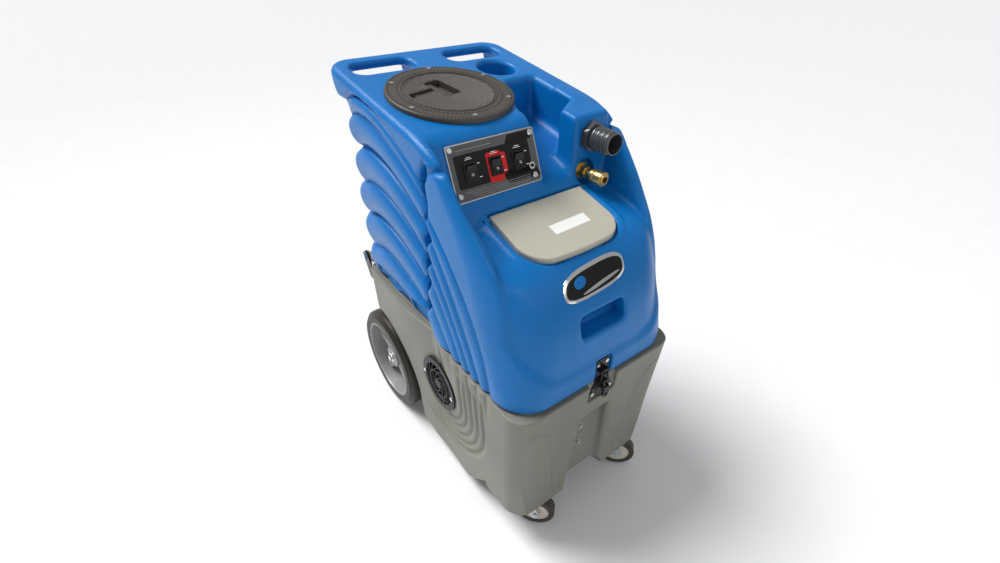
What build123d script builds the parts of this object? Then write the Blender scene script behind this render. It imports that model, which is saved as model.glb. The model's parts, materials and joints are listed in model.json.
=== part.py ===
from build123d import *

import os
from math import cos, radians, sin, tan

os.makedirs("parts", exist_ok=True)

# Portable spot extractor: a grey moulded base on two large rear wheels and two casters, and a blue
# moulded tank that tips back on two rear pivot bolts. X is across (left is -X), the front faces -Y,
# Z is up from the floor, and the origin is on the floor under the middle of the whole machine.

# ---- driving dimensions, mm ----
WALL = 6.0  # moulded wall
FRONT_Y = -328.5  # front of the base rim
REAR_Y = 328.5  # rear of the wheels

WHEEL_R = 127.0
WHEEL_WIDTH = 45.0
WHEEL_OUT_X = 186.0
AXLE_R = 8.0
AXLE_Y = REAR_Y - WHEEL_R
AXLE_Z = WHEEL_R

RIM_Z = 378.0  # seam between base and tank
RIM_HALF_X = 186.0
BASE_LOW_Z = 24.0
BASE_REAR_Y = 262.0
BASE_REAR_Z = 150.0
CASTER_Z = 94.0  # underside that the casters bolt to

TANK_GAP = 0.4
TANK_Z = RIM_Z + 3.0 + TANK_GAP
TANK_FRONT_Y = -313.0
TANK_REAR_Y = 263.0
PIVOT_Y = 270.0  # bolts that the tank tips back on
PIVOT_Z = 394.0
PIVOT_R = 5.0

DECK_TILT = 9.42  # the top slopes down to the front
DECK_Z0 = 772.2  # height of the top at Y = 0
DECK_REAR_Y = 263.0

PLATE_X = -54.7  # access plate over the recovery tank
PLATE_Y = 46.8
PLATE_R = 108.5
DISC_R = 81.0

PANEL_TILT = 21.8  # switch panel, leaning back from upright
PANEL_W = 167.0
PANEL_H = 87.5
PANEL_X = -63.5
PANEL_TOP_Y = -77.7
PANEL_TOP_Z = 745.4

LID_TILT = 16.0
LID_REAR_Y = -122.7
LID_REAR_Z = 638.3
LID_LEN = 125.0
LID_HALF_W = 100.0
LID_T = 11.0

VENT_Y = -53.0
VENT_Z = 253.0
VENT_R = 60.0
VENT_X = 176.0

LATCH_SEAT_Y = -313.5
LATCH_PIVOT_Y = -320.5
LATCH_PIVOT_Z = 374.0

CASTER_X = 120.0
CASTER_Y = -262.0
CASTER_R = 38.0
CASTER_TRAIL = 28.0
CASTER_YAW = 48.0

CASTER_BOLTS = (54.0, 42.0)

RING_OUT = 170.0  # rim seal, under the tank's edge
RING_IN = 165.0
RING_FRONT = -309.0
RING_REAR = 250.0

INLET_X = -90.0  # power inlet in the base's rear wall
INLET_Z = 320.0

RUN = 0.05  # radial running clearance of pins
GAP = 0.3  # clearance between pieces that move past each other


def deck_z(y):
    """Height of the sloping top at y."""
    return DECK_Z0 + tan(radians(DECK_TILT)) * y


def deck_plane(x, y, lift=0.0):
    """Plane on the top, its x along +X and its y up the slope, raised by lift."""
    t = radians(DECK_TILT)
    origin = (x, y - lift * sin(t), deck_z(y) + lift * cos(t))
    return Plane(origin=origin, x_dir=(1, 0, 0), z_dir=(0, -sin(t), cos(t)))


def panel_plane(x, down, lift=0.0):
    """Plane on the switch panel at x and a distance down from its top edge, facing forward."""
    t = radians(PANEL_TILT)
    y = PANEL_TOP_Y - down * sin(t) - lift * cos(t)
    z = PANEL_TOP_Z - down * cos(t) + lift * sin(t)
    return Plane(origin=(x, y, z), x_dir=(1, 0, 0), z_dir=(0, -cos(t), sin(t)))


def lid_plane(lift=0.0):
    """Plane on the fill lid's rear edge, its -y running down to the lid's front."""
    t = radians(LID_TILT)
    origin = (0, LID_REAR_Y - lift * sin(t), LID_REAR_Z + lift * cos(t))
    return Plane(origin=origin, x_dir=(1, 0, 0), z_dir=(0, -sin(t), cos(t)))


def across(x, y, z):
    """Plane facing +X at a point, its x along +Y and its y along +Z."""
    return Plane(origin=(x, y, z), x_dir=(0, 1, 0), z_dir=(1, 0, 0))


def facing_front(x, y, z):
    """Plane facing -Y at a point, its x along +X and its y along +Z."""
    return Plane(origin=(x, y, z), x_dir=(1, 0, 0), z_dir=(0, -1, 0))


def keep(builder, label):
    """Label a finished piece and write it."""
    builder.part.label = label
    export_step(builder.part, f"parts/{label}.step")


# ---- moulded forms ----

BASE_SIDE = [
    (-327, RIM_Z + 1),
    (-305, 96),
    (-298, CASTER_Z),
    (-208, CASTER_Z),
    (-166, 50),
    (-137, BASE_LOW_Z),
    (10, BASE_LOW_Z),
    (62, 38),
    (98, 60),
    (122, BASE_REAR_Z),
    (BASE_REAR_Y, BASE_REAR_Z),
    (BASE_REAR_Y, RIM_Z + 1),
]

TANK_MIDDLE = [
    (-313, TANK_Z),
    (-308, 480),
    (-302, 515),
    (-291, 549),
    (-272, 578),
    (-246, 597),
    (-124, 632),
    (-110, 664),
    (PANEL_TOP_Y, PANEL_TOP_Z),
    (-70, deck_z(-70)),
    (DECK_REAR_Y, deck_z(DECK_REAR_Y)),
    (DECK_REAR_Y - 3, deck_z(DECK_REAR_Y) - 24),
    (236, 764),
    (226, 738),
    (240, 560),
    (254, TANK_Z),
]

TANK_CHEEK = [
    (-290, TANK_Z),
    (-274, 436),
    (-261, 475),
    (-242, 531),
    (-219, 582),
    (-197, 622),
    (-173, 661),
    (-148, 694),
    (-125, 720),
    (-103, 735),
    (-80, deck_z(-80)),
    (DECK_REAR_Y, deck_z(DECK_REAR_Y)),
    (DECK_REAR_Y - 3, deck_z(DECK_REAR_Y) - 24),
    (236, 764),
    (226, 738),
    (240, 560),
    (254, TANK_Z),
]


def plan_block(sections):
    """Loft of rounded rectangles: each section is z, half width, front y, rear y, corner radius."""
    with BuildPart() as block:
        for z, half_x, front, rear, radius in sections:
            with BuildSketch(Plane.XY.offset(z)):
                with Locations((0, (front + rear) / 2)):
                    RectangleRounded(2 * half_x, rear - front, radius)
        loft()
    return block.part


def side_block(points, half_x, inset=0.0):
    """A side outline, optionally shrunk, extruded to both sides."""
    with BuildPart() as block:
        with BuildSketch(Plane.YZ):
            with BuildLine():
                Polyline(*points, close=True)
            make_face()
            if inset:
                offset(amount=-inset, kind=Kind.INTERSECTION)
        extrude(amount=half_x, both=True)
    return block.part


def base_form(inset=0.0):
    """Outer form of the base, or the form of its inside with the walls' thickness as inset."""
    top = (RIM_Z + 1, RIM_HALF_X - inset, FRONT_Y + 2 + inset, BASE_REAR_Y - inset, 52 - inset)
    low = (BASE_LOW_Z - 1, 167 - inset, -306 + inset, BASE_REAR_Y - inset, 42 - inset)
    with BuildPart() as form:
        add(plan_block([low, top]))
        add(side_block(BASE_SIDE, 200, inset), mode=Mode.INTERSECT)
    return form.part


def tank_form(inset=0.0):
    """Outer form of the tank, or of the space inside its walls."""
    low = (TANK_Z - 1, 181 - inset, TANK_FRONT_Y + inset, TANK_REAR_Y - inset, 62 - inset)
    top = (deck_z(DECK_REAR_Y) + 1, 189 - inset, -306 + inset, TANK_REAR_Y - inset, 56 - inset)
    cheek_x = 150 + inset
    with BuildPart() as middle:
        add(plan_block([low, top]))
        add(side_block(TANK_MIDDLE, 200, inset), mode=Mode.INTERSECT)
    with BuildPart() as cheeks:
        add(plan_block([low, top]))
        add(side_block(TANK_CHEEK, 200, inset), mode=Mode.INTERSECT)
        with BuildSketch(Plane.XY.offset(TANK_Z - 5)):
            Rectangle(2 * cheek_x, 700)
        extrude(amount=500, mode=Mode.SUBTRACT)
    with BuildPart() as form:
        add(middle.part)
        add(cheeks.part)
    return form.part


def wheel_arches(grow=0.0):
    """The two spaces that the rear wheels turn in."""
    with BuildPart() as arches:
        for side in (-1, 1):
            with BuildSketch(across(side * 215, AXLE_Y, AXLE_Z)):
                Circle(WHEEL_R + 12 + grow)
            extrude(amount=-side * (215 - 135 + grow))
            with BuildSketch(across(side * 215, AXLE_Y + 100, AXLE_Z - 60)):
                Rectangle(200, 2 * (WHEEL_R - 10) + grow)
            extrude(amount=-side * (215 - 135 + grow))
    return arches.part


def front_channel(grow=0.0):
    """Upright channel in the base's front, open at the front and below."""
    with BuildPart() as channel:
        with BuildSketch(Plane.XY.offset(CASTER_Z - 10)):
            with Locations((0, -320)):
                Rectangle(88 + 2 * grow, 60 + 2 * grow)
        extrude(amount=295 - CASTER_Z + 10 + grow)
    return channel.part


# ---- base ----

with BuildPart() as base_cavity:
    add(base_form(WALL))
    with BuildSketch(Plane.XY.offset(RIM_Z - WALL)):
        Rectangle(500, 800)
    extrude(amount=20, mode=Mode.SUBTRACT)
    add(wheel_arches(WALL), mode=Mode.SUBTRACT)
    add(front_channel(WALL), mode=Mode.SUBTRACT)
    with BuildSketch(facing_front(0, LATCH_SEAT_Y + WALL, 350)):
        Rectangle(80, 80)
    extrude(amount=40, mode=Mode.SUBTRACT)

with BuildPart() as base_shell:
    add(base_form())
    add(base_cavity.part, mode=Mode.SUBTRACT)
    with BuildSketch(Plane.XY.offset(RIM_Z)):
        Rectangle(500, 800)
    extrude(amount=20, mode=Mode.SUBTRACT)
    # mouth inside the rim flange
    with BuildSketch(Plane.XY.offset(RIM_Z - WALL - 5)):
        with Locations((0, (RING_FRONT + RING_REAR) / 2)):
            RectangleRounded(2 * RING_IN, RING_REAR - RING_FRONT - 10, 30)
    extrude(amount=20, mode=Mode.SUBTRACT)
    add(wheel_arches(), mode=Mode.SUBTRACT)
    add(front_channel(), mode=Mode.SUBTRACT)
    # latch seat in the rim
    with BuildSketch(facing_front(0, LATCH_SEAT_Y, 361)):
        Rectangle(66, 46)
    extrude(amount=40, mode=Mode.SUBTRACT)
    # flat seats and air holes of the side vents
    for side in (-1, 1):
        with BuildSketch(across(side * VENT_X, VENT_Y, VENT_Z)):
            Circle(VENT_R + 2)
        extrude(amount=side * 20, mode=Mode.SUBTRACT)
        with BuildSketch(across(side * 150, VENT_Y, VENT_Z)):
            Circle(48)
        extrude(amount=side * 60, mode=Mode.SUBTRACT)
    # opening for the power inlet in the rear wall
    with BuildSketch(facing_front(INLET_X, BASE_REAR_Y + 5, INLET_Z)):
        Rectangle(28, 24)
    extrude(amount=20, mode=Mode.SUBTRACT)
    # holes for the bolts of the casters, the axle brackets and the channel
    with BuildSketch(Plane.XY.offset(CASTER_Z - 1)):
        for side in (-1, 1):
            with Locations((side * CASTER_X, CASTER_Y)):
                with GridLocations(*CASTER_BOLTS, 2, 2):
                    Circle(3.2)
    extrude(amount=WALL + 2, mode=Mode.SUBTRACT)
keep(base_shell, "base_shell")

DUCT_X = -55.0  # air duct between the tank's standpipe and the vacuum motor
DUCT_Y = 150.0
DUCT_R = 22.0

with BuildPart() as rim_seal:
    with BuildSketch(Plane.XY.offset(RIM_Z)):
        with Locations((0, (RING_FRONT + RING_REAR) / 2)):
            RectangleRounded(2 * RING_OUT, RING_REAR - RING_FRONT, 36)
            RectangleRounded(2 * RING_IN, RING_REAR - RING_FRONT - 10, 31, mode=Mode.SUBTRACT)
    extrude(amount=3)
    # separate ring around the duct
    with BuildSketch(Plane((DUCT_X, DUCT_Y, RIM_Z - 2))):
        Circle(DUCT_R + 5)
        Circle(DUCT_R - 3, mode=Mode.SUBTRACT)
    extrude(amount=5)
keep(rim_seal, "rim_seal")

# rear axle, its brackets and end bolts
AXLE_AXIS = Axis((0, AXLE_Y, AXLE_Z), (1, 0, 0))
AXLE_END = 172.0

with BuildPart() as rear_axle:
    with BuildSketch(across(0, AXLE_Y, AXLE_Z)):
        Circle(AXLE_R)
    extrude(amount=AXLE_END, both=True)
keep(rear_axle, "rear_axle")

with BuildPart() as axle_brackets:
    for side in (-1, 1):
        with BuildSketch(across(side * 112, AXLE_Y, BASE_REAR_Z)):
            Polygon((-34, 0), (34, 0), (34, -5), (16, -38), (-16, -38), (-34, -5), align=None)
        extrude(amount=10, both=True)
    with BuildSketch(across(0, AXLE_Y, AXLE_Z)):
        Circle(AXLE_R)
    extrude(amount=150, both=True, mode=Mode.SUBTRACT)
keep(axle_brackets, "axle_brackets")

with BuildPart() as axle_end_bolts:
    for side in (-1, 1):
        with BuildSketch(across(side * AXLE_END, AXLE_Y, AXLE_Z)):
            Circle(12)
        extrude(amount=side * 1.6)
        with BuildSketch(across(side * (AXLE_END + 1.6), AXLE_Y, AXLE_Z)):
            RegularPolygon(8, 6)
        extrude(amount=side * 6)
keep(axle_end_bolts, "axle_end_bolts")

# rear wheels
TYRE_IN_R = 98.5
HUB_FACE = 171.5
SPOKES = 5

for side, name in ((-1, "left"), (1, "right")):
    inner_x = WHEEL_OUT_X - WHEEL_WIDTH
    radial = Plane(origin=(0, AXLE_Y, AXLE_Z), x_dir=(side, 0, 0), z_dir=(0, -side, 0))

    with BuildPart() as tyre:
        with BuildSketch(radial):
            with BuildLine():
                Polyline(
                    (inner_x, TYRE_IN_R),
                    (inner_x, WHEEL_R - 12),
                    (inner_x + 8, WHEEL_R - 2),
                )
                ThreePointArc(
                    (inner_x + 8, WHEEL_R - 2),
                    ((inner_x + WHEEL_OUT_X) / 2, WHEEL_R),
                    (WHEEL_OUT_X - 8, WHEEL_R - 2),
                )
                Polyline(
                    (WHEEL_OUT_X - 8, WHEEL_R - 2),
                    (WHEEL_OUT_X, WHEEL_R - 12),
                    (WHEEL_OUT_X, TYRE_IN_R),
                    (inner_x, TYRE_IN_R),
                )
            make_face()
        revolve(axis=AXLE_AXIS)
    keep(tyre, f"tyre_{name}")

    with BuildPart() as hub:
        with BuildSketch(radial):
            with BuildLine():
                Polyline(
                    (inner_x + 2, TYRE_IN_R),
                    (inner_x + 2, TYRE_IN_R - 8),
                    (WHEEL_OUT_X - 4, TYRE_IN_R - 6),
                    (WHEEL_OUT_X - 1, TYRE_IN_R - 5),
                    (WHEEL_OUT_X - 1, TYRE_IN_R),
                    close=True,
                )
            make_face()
            with Locations(((inner_x + 4 + HUB_FACE) / 2, 15)):
                Rectangle(HUB_FACE - inner_x - 4, 22)
        revolve(axis=AXLE_AXIS)
        with BuildSketch(across(side * 148, AXLE_Y, AXLE_Z)):
            for i in range(SPOKES):
                with Locations(Location((0, 0, 0), (0, 0, 90 + i * 360 / SPOKES))):
                    Polygon((16, -15), (98, -9), (98, 9), (16, 15), align=None)
        extrude(amount=side * 14)
        with BuildSketch(across(side * 148, AXLE_Y, AXLE_Z)):
            Circle(TYRE_IN_R + 40)
            Circle(TYRE_IN_R - 4, mode=Mode.SUBTRACT)
        extrude(amount=side * 14, mode=Mode.SUBTRACT)
        with BuildSketch(radial):
            with BuildLine():
                Polyline(
                    (inner_x + 2, TYRE_IN_R),
                    (inner_x + 2, TYRE_IN_R - 8),
                    (WHEEL_OUT_X - 4, TYRE_IN_R - 6),
                    (WHEEL_OUT_X - 1, TYRE_IN_R - 5),
                    (WHEEL_OUT_X - 1, TYRE_IN_R),
                    close=True,
                )
            make_face()
        revolve(axis=AXLE_AXIS)
        with BuildSketch(across(0, AXLE_Y, AXLE_Z)):
            Circle(AXLE_R + RUN)
        extrude(amount=side * 200, mode=Mode.SUBTRACT)
    keep(hub, f"wheel_hub_{name}")

# ---- casters ----

TURN = radians(CASTER_YAW)
TRAIL_DIR = (cos(TURN), -sin(TURN), 0)  # from the swivel to the wheel, seen from above
CASTER_AXLE_DIR = (sin(TURN), cos(TURN), 0)
PLATE_T = 2.5
RACE_LOW_Z = 85.0


def swivel_plane(x, z):
    """Level plane on a caster's swivel, its x along the axle and its y towards the wheel."""
    return Plane(origin=(x, CASTER_Y, z), x_dir=CASTER_AXLE_DIR, z_dir=(0, 0, -1))


def caster_side_plane(x, along):
    """Upright plane square to the caster's axle, its x towards the wheel and its y up."""
    origin = (x + along * CASTER_AXLE_DIR[0], CASTER_Y + along * CASTER_AXLE_DIR[1], 0)
    z_dir = Vector(*TRAIL_DIR).cross(Vector(0, 0, 1))
    return Plane(origin=origin, x_dir=TRAIL_DIR, z_dir=z_dir)


def caster_centre(x):
    """Middle of a caster's wheel."""
    return (x + CASTER_TRAIL * TRAIL_DIR[0], CASTER_Y + CASTER_TRAIL * TRAIL_DIR[1], CASTER_R)


with BuildPart() as caster_plates:
    for side in (-1, 1):
        with BuildSketch(Plane((side * CASTER_X, CASTER_Y, CASTER_Z - PLATE_T))):
            RectangleRounded(72, 60, 8)
            with GridLocations(*CASTER_BOLTS, 2, 2):
                Circle(3.2, mode=Mode.SUBTRACT)
            Circle(PIVOT_R + RUN, mode=Mode.SUBTRACT)
        extrude(amount=PLATE_T)
        with BuildSketch(Plane((side * CASTER_X, CASTER_Y, RACE_LOW_Z))):
            Circle(20)
            Circle(PIVOT_R + RUN, mode=Mode.SUBTRACT)
        extrude(amount=CASTER_Z - PLATE_T - RACE_LOW_Z)
keep(caster_plates, "caster_plates")

with BuildPart() as caster_plate_bolts:
    for side in (-1, 1):
        for z, radius, height in ((CASTER_Z - PLATE_T - 3.6, 5.5, 3.6), (CASTER_Z - PLATE_T, 3.2, 14)):
            with BuildSketch(Plane((side * CASTER_X, CASTER_Y, z))):
                with GridLocations(*CASTER_BOLTS, 2, 2):
                    if radius > 4:
                        RegularPolygon(radius, 6)
                    else:
                        Circle(radius)
            extrude(amount=height)
keep(caster_plate_bolts, "caster_plate_bolts")

for side, name in ((-1, "left"), (1, "right")):
    x = side * CASTER_X
    wheel_axis = Axis(caster_centre(x), CASTER_AXLE_DIR)

    with BuildPart() as fork:
        with BuildSketch(swivel_plane(x, RACE_LOW_Z - GAP)):
            Circle(22)
        extrude(amount=4)
        with BuildSketch(swivel_plane(x, RACE_LOW_Z - GAP)):
            Circle(PIVOT_R)
        extrude(amount=-8)
        for along in (-17.5, 17.5):
            with BuildSketch(caster_side_plane(x, along)):
                with BuildLine():
                    Polyline(
                        (-13, RACE_LOW_Z - 1.5),
                        (13, RACE_LOW_Z - 1.5),
                        (CASTER_TRAIL + 9, CASTER_R + 5),
                        (CASTER_TRAIL + 8, CASTER_R - 7),
                        (CASTER_TRAIL - 6, CASTER_R - 8),
                        (CASTER_TRAIL - 12, CASTER_R + 2),
                        close=True,
                    )
                make_face()
            extrude(amount=1.25, both=True)
        # hexagon-headed axle bolt, its shank between the fork's legs
        with BuildSketch(caster_side_plane(x, 0)):
            with Locations((CASTER_TRAIL, CASTER_R)):
                Circle(4)
        extrude(amount=17.5, both=True)
        for along, way in ((18.7, 1), (-18.7, -1)):
            with BuildSketch(caster_side_plane(x, along)):
                with Locations((CASTER_TRAIL, CASTER_R)):
                    RegularPolygon(7, 6)
            extrude(amount=2.6, both=True)
    keep(fork, f"caster_fork_{name}")

    with BuildPart() as caster_tyre:
        with BuildSketch(caster_side_plane(x, 0)):
            with Locations((CASTER_TRAIL, CASTER_R)):
                Circle(CASTER_R)
                Circle(27, mode=Mode.SUBTRACT)
        extrude(amount=12, both=True)
        fillet(caster_tyre.edges().filter_by(GeomType.CIRCLE).sort_by(SortBy.RADIUS)[-2:], 4)
    keep(caster_tyre, f"caster_tyre_{name}")

    with BuildPart() as caster_hub:
        with BuildSketch(caster_side_plane(x, 0)):
            with Locations((CASTER_TRAIL, CASTER_R)):
                Circle(27)
        extrude(amount=10, both=True)
        with BuildSketch(caster_side_plane(x, 0)):
            with Locations((CASTER_TRAIL, CASTER_R)):
                Circle(11)
        extrude(amount=14, both=True)
        with BuildSketch(caster_side_plane(x, 0)):
            with Locations((CASTER_TRAIL, CASTER_R)):
                Circle(4 + RUN)
        extrude(amount=20, both=True, mode=Mode.SUBTRACT)
    keep(caster_hub, f"caster_hub_{name}")

# ---- side vents and cooling fan ----

GRILLE_T = 4.0
VENT_SCREW = 51.0

for side, name in ((-1, "left"), (1, "right")):
    with BuildPart() as grille:
        with BuildSketch(across(side * VENT_X, VENT_Y, VENT_Z)):
            Circle(VENT_R)
            for radius, count, length, slant in ((17, 6, 15, 35), (36, 10, 22, 50)):
                with PolarLocations(radius, count):
                    SlotOverall(length, 6, rotation=slant, mode=Mode.SUBTRACT)
            with Locations((-VENT_SCREW, 0), (VENT_SCREW, 0)):
                Circle(2.2, mode=Mode.SUBTRACT)
        extrude(amount=side * GRILLE_T)
    keep(grille, f"vent_grille_{name}")

with BuildPart() as grille_screws:
    for side in (-1, 1):
        with BuildSketch(across(side * (VENT_X + GRILLE_T), VENT_Y, VENT_Z)):
            with Locations((-VENT_SCREW, 0), (VENT_SCREW, 0)):
                Circle(4)
        extrude(amount=side * 1.6)
        with BuildSketch(across(side * (VENT_X + GRILLE_T), VENT_Y, VENT_Z)):
            with Locations((-VENT_SCREW, 0), (VENT_SCREW, 0)):
                Circle(2.2)
        extrude(amount=-side * 8)
    add(base_shell.part, mode=Mode.SUBTRACT)
keep(grille_screws, "grille_screws")

FAN_FRONT_X = -171.0
with BuildPart() as fan_frame:
    with BuildSketch(across(FAN_FRONT_X, VENT_Y, VENT_Z)):
        RectangleRounded(120, 120, 8)
        Circle(56, mode=Mode.SUBTRACT)
    extrude(amount=25)
    # motor cup on two struts
    with BuildSketch(across(FAN_FRONT_X + 21, VENT_Y, VENT_Z)):
        Circle(20)
        Rectangle(116, 7)
        Rectangle(7, 116)
    extrude(amount=4)
    with BuildSketch(across(FAN_FRONT_X + 10, VENT_Y, VENT_Z)):
        Circle(3)
    extrude(amount=12)
    add(base_form(WALL), mode=Mode.INTERSECT)
keep(fan_frame, "cooling_fan_frame")

BLADES = 7
with BuildPart() as fan_rotor:
    with BuildSketch(across(FAN_FRONT_X + 4, VENT_Y, VENT_Z)):
        Circle(19)
    extrude(amount=16)
    for i in range(BLADES):
        turn = 2 * i * 180 / BLADES
        middle = Location((FAN_FRONT_X + 12, VENT_Y, VENT_Z), (turn, 0, 0))
        with Locations(middle * Location((0, 36, 0), (0, 35, 0))):
            Box(2.5, 36, 24)
    with BuildSketch(across(FAN_FRONT_X + 2, VENT_Y, VENT_Z)):
        Circle(54)
    extrude(amount=19, mode=Mode.INTERSECT)
    with BuildSketch(across(FAN_FRONT_X, VENT_Y, VENT_Z)):
        Circle(3 + RUN)
    extrude(amount=30, mode=Mode.SUBTRACT)
keep(fan_rotor, "fan_rotor")

# ---- vacuum motor, duct and pump ----

VAC_X = 68.0
VAC_Y = -30.0
VAC_FLOOR = BASE_LOW_Z + WALL
VAC_HOUSE_Z = 60.0

with BuildPart() as vac_motor:
    with BuildSketch(Plane((VAC_X, VAC_Y, VAC_HOUSE_Z))):
        Circle(72)
    extrude(amount=80)
    with BuildSketch(Plane((VAC_X, VAC_Y, VAC_HOUSE_Z + 6))):
        Circle(66)
    extrude(amount=68, mode=Mode.SUBTRACT)
    with BuildSketch(Plane((VAC_X, VAC_Y, VAC_HOUSE_Z + 80))):
        Circle(50)
    extrude(amount=96)
    with BuildSketch(Plane((VAC_X, VAC_Y, VAC_HOUSE_Z + 176))):
        Circle(36)
    extrude(amount=18)
    with BuildSketch(Plane((VAC_X, VAC_Y, VAC_HOUSE_Z - 5))):
        Circle(22)
    extrude(amount=15, mode=Mode.SUBTRACT)
    with BuildSketch(Plane((VAC_X, VAC_Y, VAC_HOUSE_Z + 70))):
        Circle(PIVOT_R + RUN)
    extrude(amount=60, mode=Mode.SUBTRACT)
    # three feet on the base's floor
    with BuildSketch(Plane((VAC_X, VAC_Y, VAC_FLOOR))):
        with PolarLocations(56, 3, start_angle=-90):
            Circle(11)
    extrude(amount=VAC_HOUSE_Z - VAC_FLOOR)
keep(vac_motor, "vac_motor")

with BuildPart() as vac_impeller:
    with BuildSketch(Plane((VAC_X, VAC_Y, VAC_HOUSE_Z + 16))):
        Circle(60)
    extrude(amount=3)
    with BuildSketch(Plane((VAC_X, VAC_Y, VAC_HOUSE_Z + 16))):
        Circle(14)
    extrude(amount=30)
    with BuildSketch(Plane((VAC_X, VAC_Y, VAC_HOUSE_Z + 16))):
        with PolarLocations(37, 8):
            Rectangle(44, 2.5, rotation=25)
    extrude(amount=24)
    with BuildSketch(Plane((VAC_X, VAC_Y, VAC_HOUSE_Z + 16))):
        Circle(PIVOT_R)
    extrude(amount=90)
keep(vac_impeller, "vac_impeller")

DUCT_LOW_Z = 190.0
with BuildPart() as vac_duct:
    with BuildSketch(Plane((DUCT_X, DUCT_Y, DUCT_LOW_Z))):
        Circle(DUCT_R)
    extrude(amount=RIM_Z - 2 - DUCT_LOW_Z)
    with BuildSketch(Plane((DUCT_X, DUCT_Y, DUCT_LOW_Z - WALL))):
        Circle(DUCT_R + 8)
    extrude(amount=WALL)
    with BuildSketch(Plane((DUCT_X, DUCT_Y, DUCT_LOW_Z))):
        Circle(DUCT_R - 3)
    extrude(amount=RIM_Z - DUCT_LOW_Z, mode=Mode.SUBTRACT)
    # box-section run to the floor beside the motor
    with BuildSketch(Plane((DUCT_X, DUCT_Y, BASE_REAR_Z + WALL))):
        RectangleRounded(70, 60, 8)
    extrude(amount=DUCT_LOW_Z - WALL - BASE_REAR_Z - WALL)
keep(vac_duct, "vac_duct")


PUMP_Y = -142.0
PUMP_Z = 114.0
with BuildPart() as pump:
    with BuildSketch(across(-130, PUMP_Y, PUMP_Z)):
        Circle(34)
    extrude(amount=100)
    with BuildSketch(across(-30, PUMP_Y, PUMP_Z)):
        RectangleRounded(70, 74, 6)
    extrude(amount=42)
    # saddle on the floor and two outlet stubs
    with BuildSketch(Plane((-62, -118, VAC_FLOOR))):
        Rectangle(90, 22)
    extrude(amount=PUMP_Z - VAC_FLOOR - 20)
    with BuildSketch(Plane((-9, PUMP_Y, PUMP_Z + 37))):
        with Locations((-8, 16), (8, -16)):
            Circle(7)
    extrude(amount=20)
keep(pump, "pump")

# ---- front latch ----

LATCH_PLATE_T = 2.0
PIN_R = 2.0
with BuildPart() as latch_plate:
    with BuildSketch(facing_front(0, LATCH_SEAT_Y, 0)):
        with BuildLine():
            Polyline(
                (-26, 343),
                (26, 343),
                (28, 348),
                (14, 383),
                (-14, 383),
                (-28, 348),
                close=True,
            )
        make_face()
        with Locations((-21, 349), (21, 349)):
            Circle(2, mode=Mode.SUBTRACT)
    extrude(amount=LATCH_PLATE_T)
    # middle lug that the lever turns on
    with BuildSketch(across(0, LATCH_SEAT_Y - 1, LATCH_PIVOT_Z)):
        Rectangle(6, 9, align=(Align.MAX, Align.CENTER))
        with Locations((LATCH_PIVOT_Y - LATCH_SEAT_Y + 1, 0)):
            Circle(4)
    extrude(amount=4, both=True)
    with BuildSketch(across(0, LATCH_PIVOT_Y, LATCH_PIVOT_Z)):
        Circle(PIN_R + RUN)
    extrude(amount=10, both=True, mode=Mode.SUBTRACT)
keep(latch_plate, "latch_plate")

LATCH_Q_Y = LATCH_PIVOT_Y + 0.5  # where the bail turns on the lever
LATCH_Q_Z = LATCH_PIVOT_Z - 8.0
with BuildPart() as latch_lever:
    for side in (-1, 1):
        with BuildSketch(across(side * 4.3, LATCH_PIVOT_Y, LATCH_PIVOT_Z)):
            Circle(4)
            Rectangle(8, 12, align=(Align.CENTER, Align.MAX))
            with Locations((-4.5, -12)):
                Rectangle(5, 12)
        extrude(amount=side * 2)
    with BuildSketch(facing_front(0, LATCH_PIVOT_Y - 4.5, 0)):
        with Locations((0, LATCH_PIVOT_Z - 14)):
            Rectangle(12.6, 12)
        with Locations((0, LATCH_PIVOT_Z - 24)):
            Circle(8)
        with Locations((0, LATCH_PIVOT_Z - 25)):
            Circle(3, mode=Mode.SUBTRACT)
    extrude(amount=3.5)
    with BuildSketch(across(0, LATCH_PIVOT_Y, LATCH_PIVOT_Z)):
        Circle(PIN_R)
    extrude(amount=5, both=True)
    with BuildSketch(across(0, LATCH_Q_Y, LATCH_Q_Z)):
        Circle(1.2)
    extrude(amount=9.5, both=True)
keep(latch_lever, "latch_lever")

BAIL_TOP_Z = 401.0
with BuildPart() as latch_bail:
    for side in (-1, 1):
        with BuildSketch(across(side * 6.9, LATCH_Q_Y, LATCH_Q_Z)):
            Circle(2.6)
            with Locations((0, (BAIL_TOP_Z - LATCH_Q_Z) / 2)):
                Rectangle(2, BAIL_TOP_Z - LATCH_Q_Z)
            Circle(1.2 + RUN, mode=Mode.SUBTRACT)
        extrude(amount=side * 2)
    with BuildSketch(across(0, LATCH_Q_Y, BAIL_TOP_Z)):
        Circle(1.6)
    extrude(amount=8.9, both=True)
keep(latch_bail, "latch_bail")

with BuildPart() as latch_rivets:
    with BuildSketch(facing_front(0, LATCH_SEAT_Y - LATCH_PLATE_T, 349)):
        with Locations((-21, 0), (21, 0)):
            Circle(4)
    extrude(amount=1.4)
    with BuildSketch(facing_front(0, LATCH_SEAT_Y - LATCH_PLATE_T, 349)):
        with Locations((-21, 0), (21, 0)):
            Circle(2)
    extrude(amount=-LATCH_PLATE_T)
keep(latch_rivets, "latch_rivets")

CHANNEL_BACK_Y = -290.0
with BuildPart() as channel_bolts:
    with BuildSketch(facing_front(-12, CHANNEL_BACK_Y, 0)):
        with Locations((0, 190), (0, 236)):
            Circle(7)
    extrude(amount=1.2)
    with BuildSketch(facing_front(-12, CHANNEL_BACK_Y - 1.2, 0)):
        with Locations((0, 190), (0, 236)):
            RegularPolygon(5, 6)
    extrude(amount=4)
keep(channel_bolts, "channel_bolts")

# ---- rear pivots ----

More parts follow.
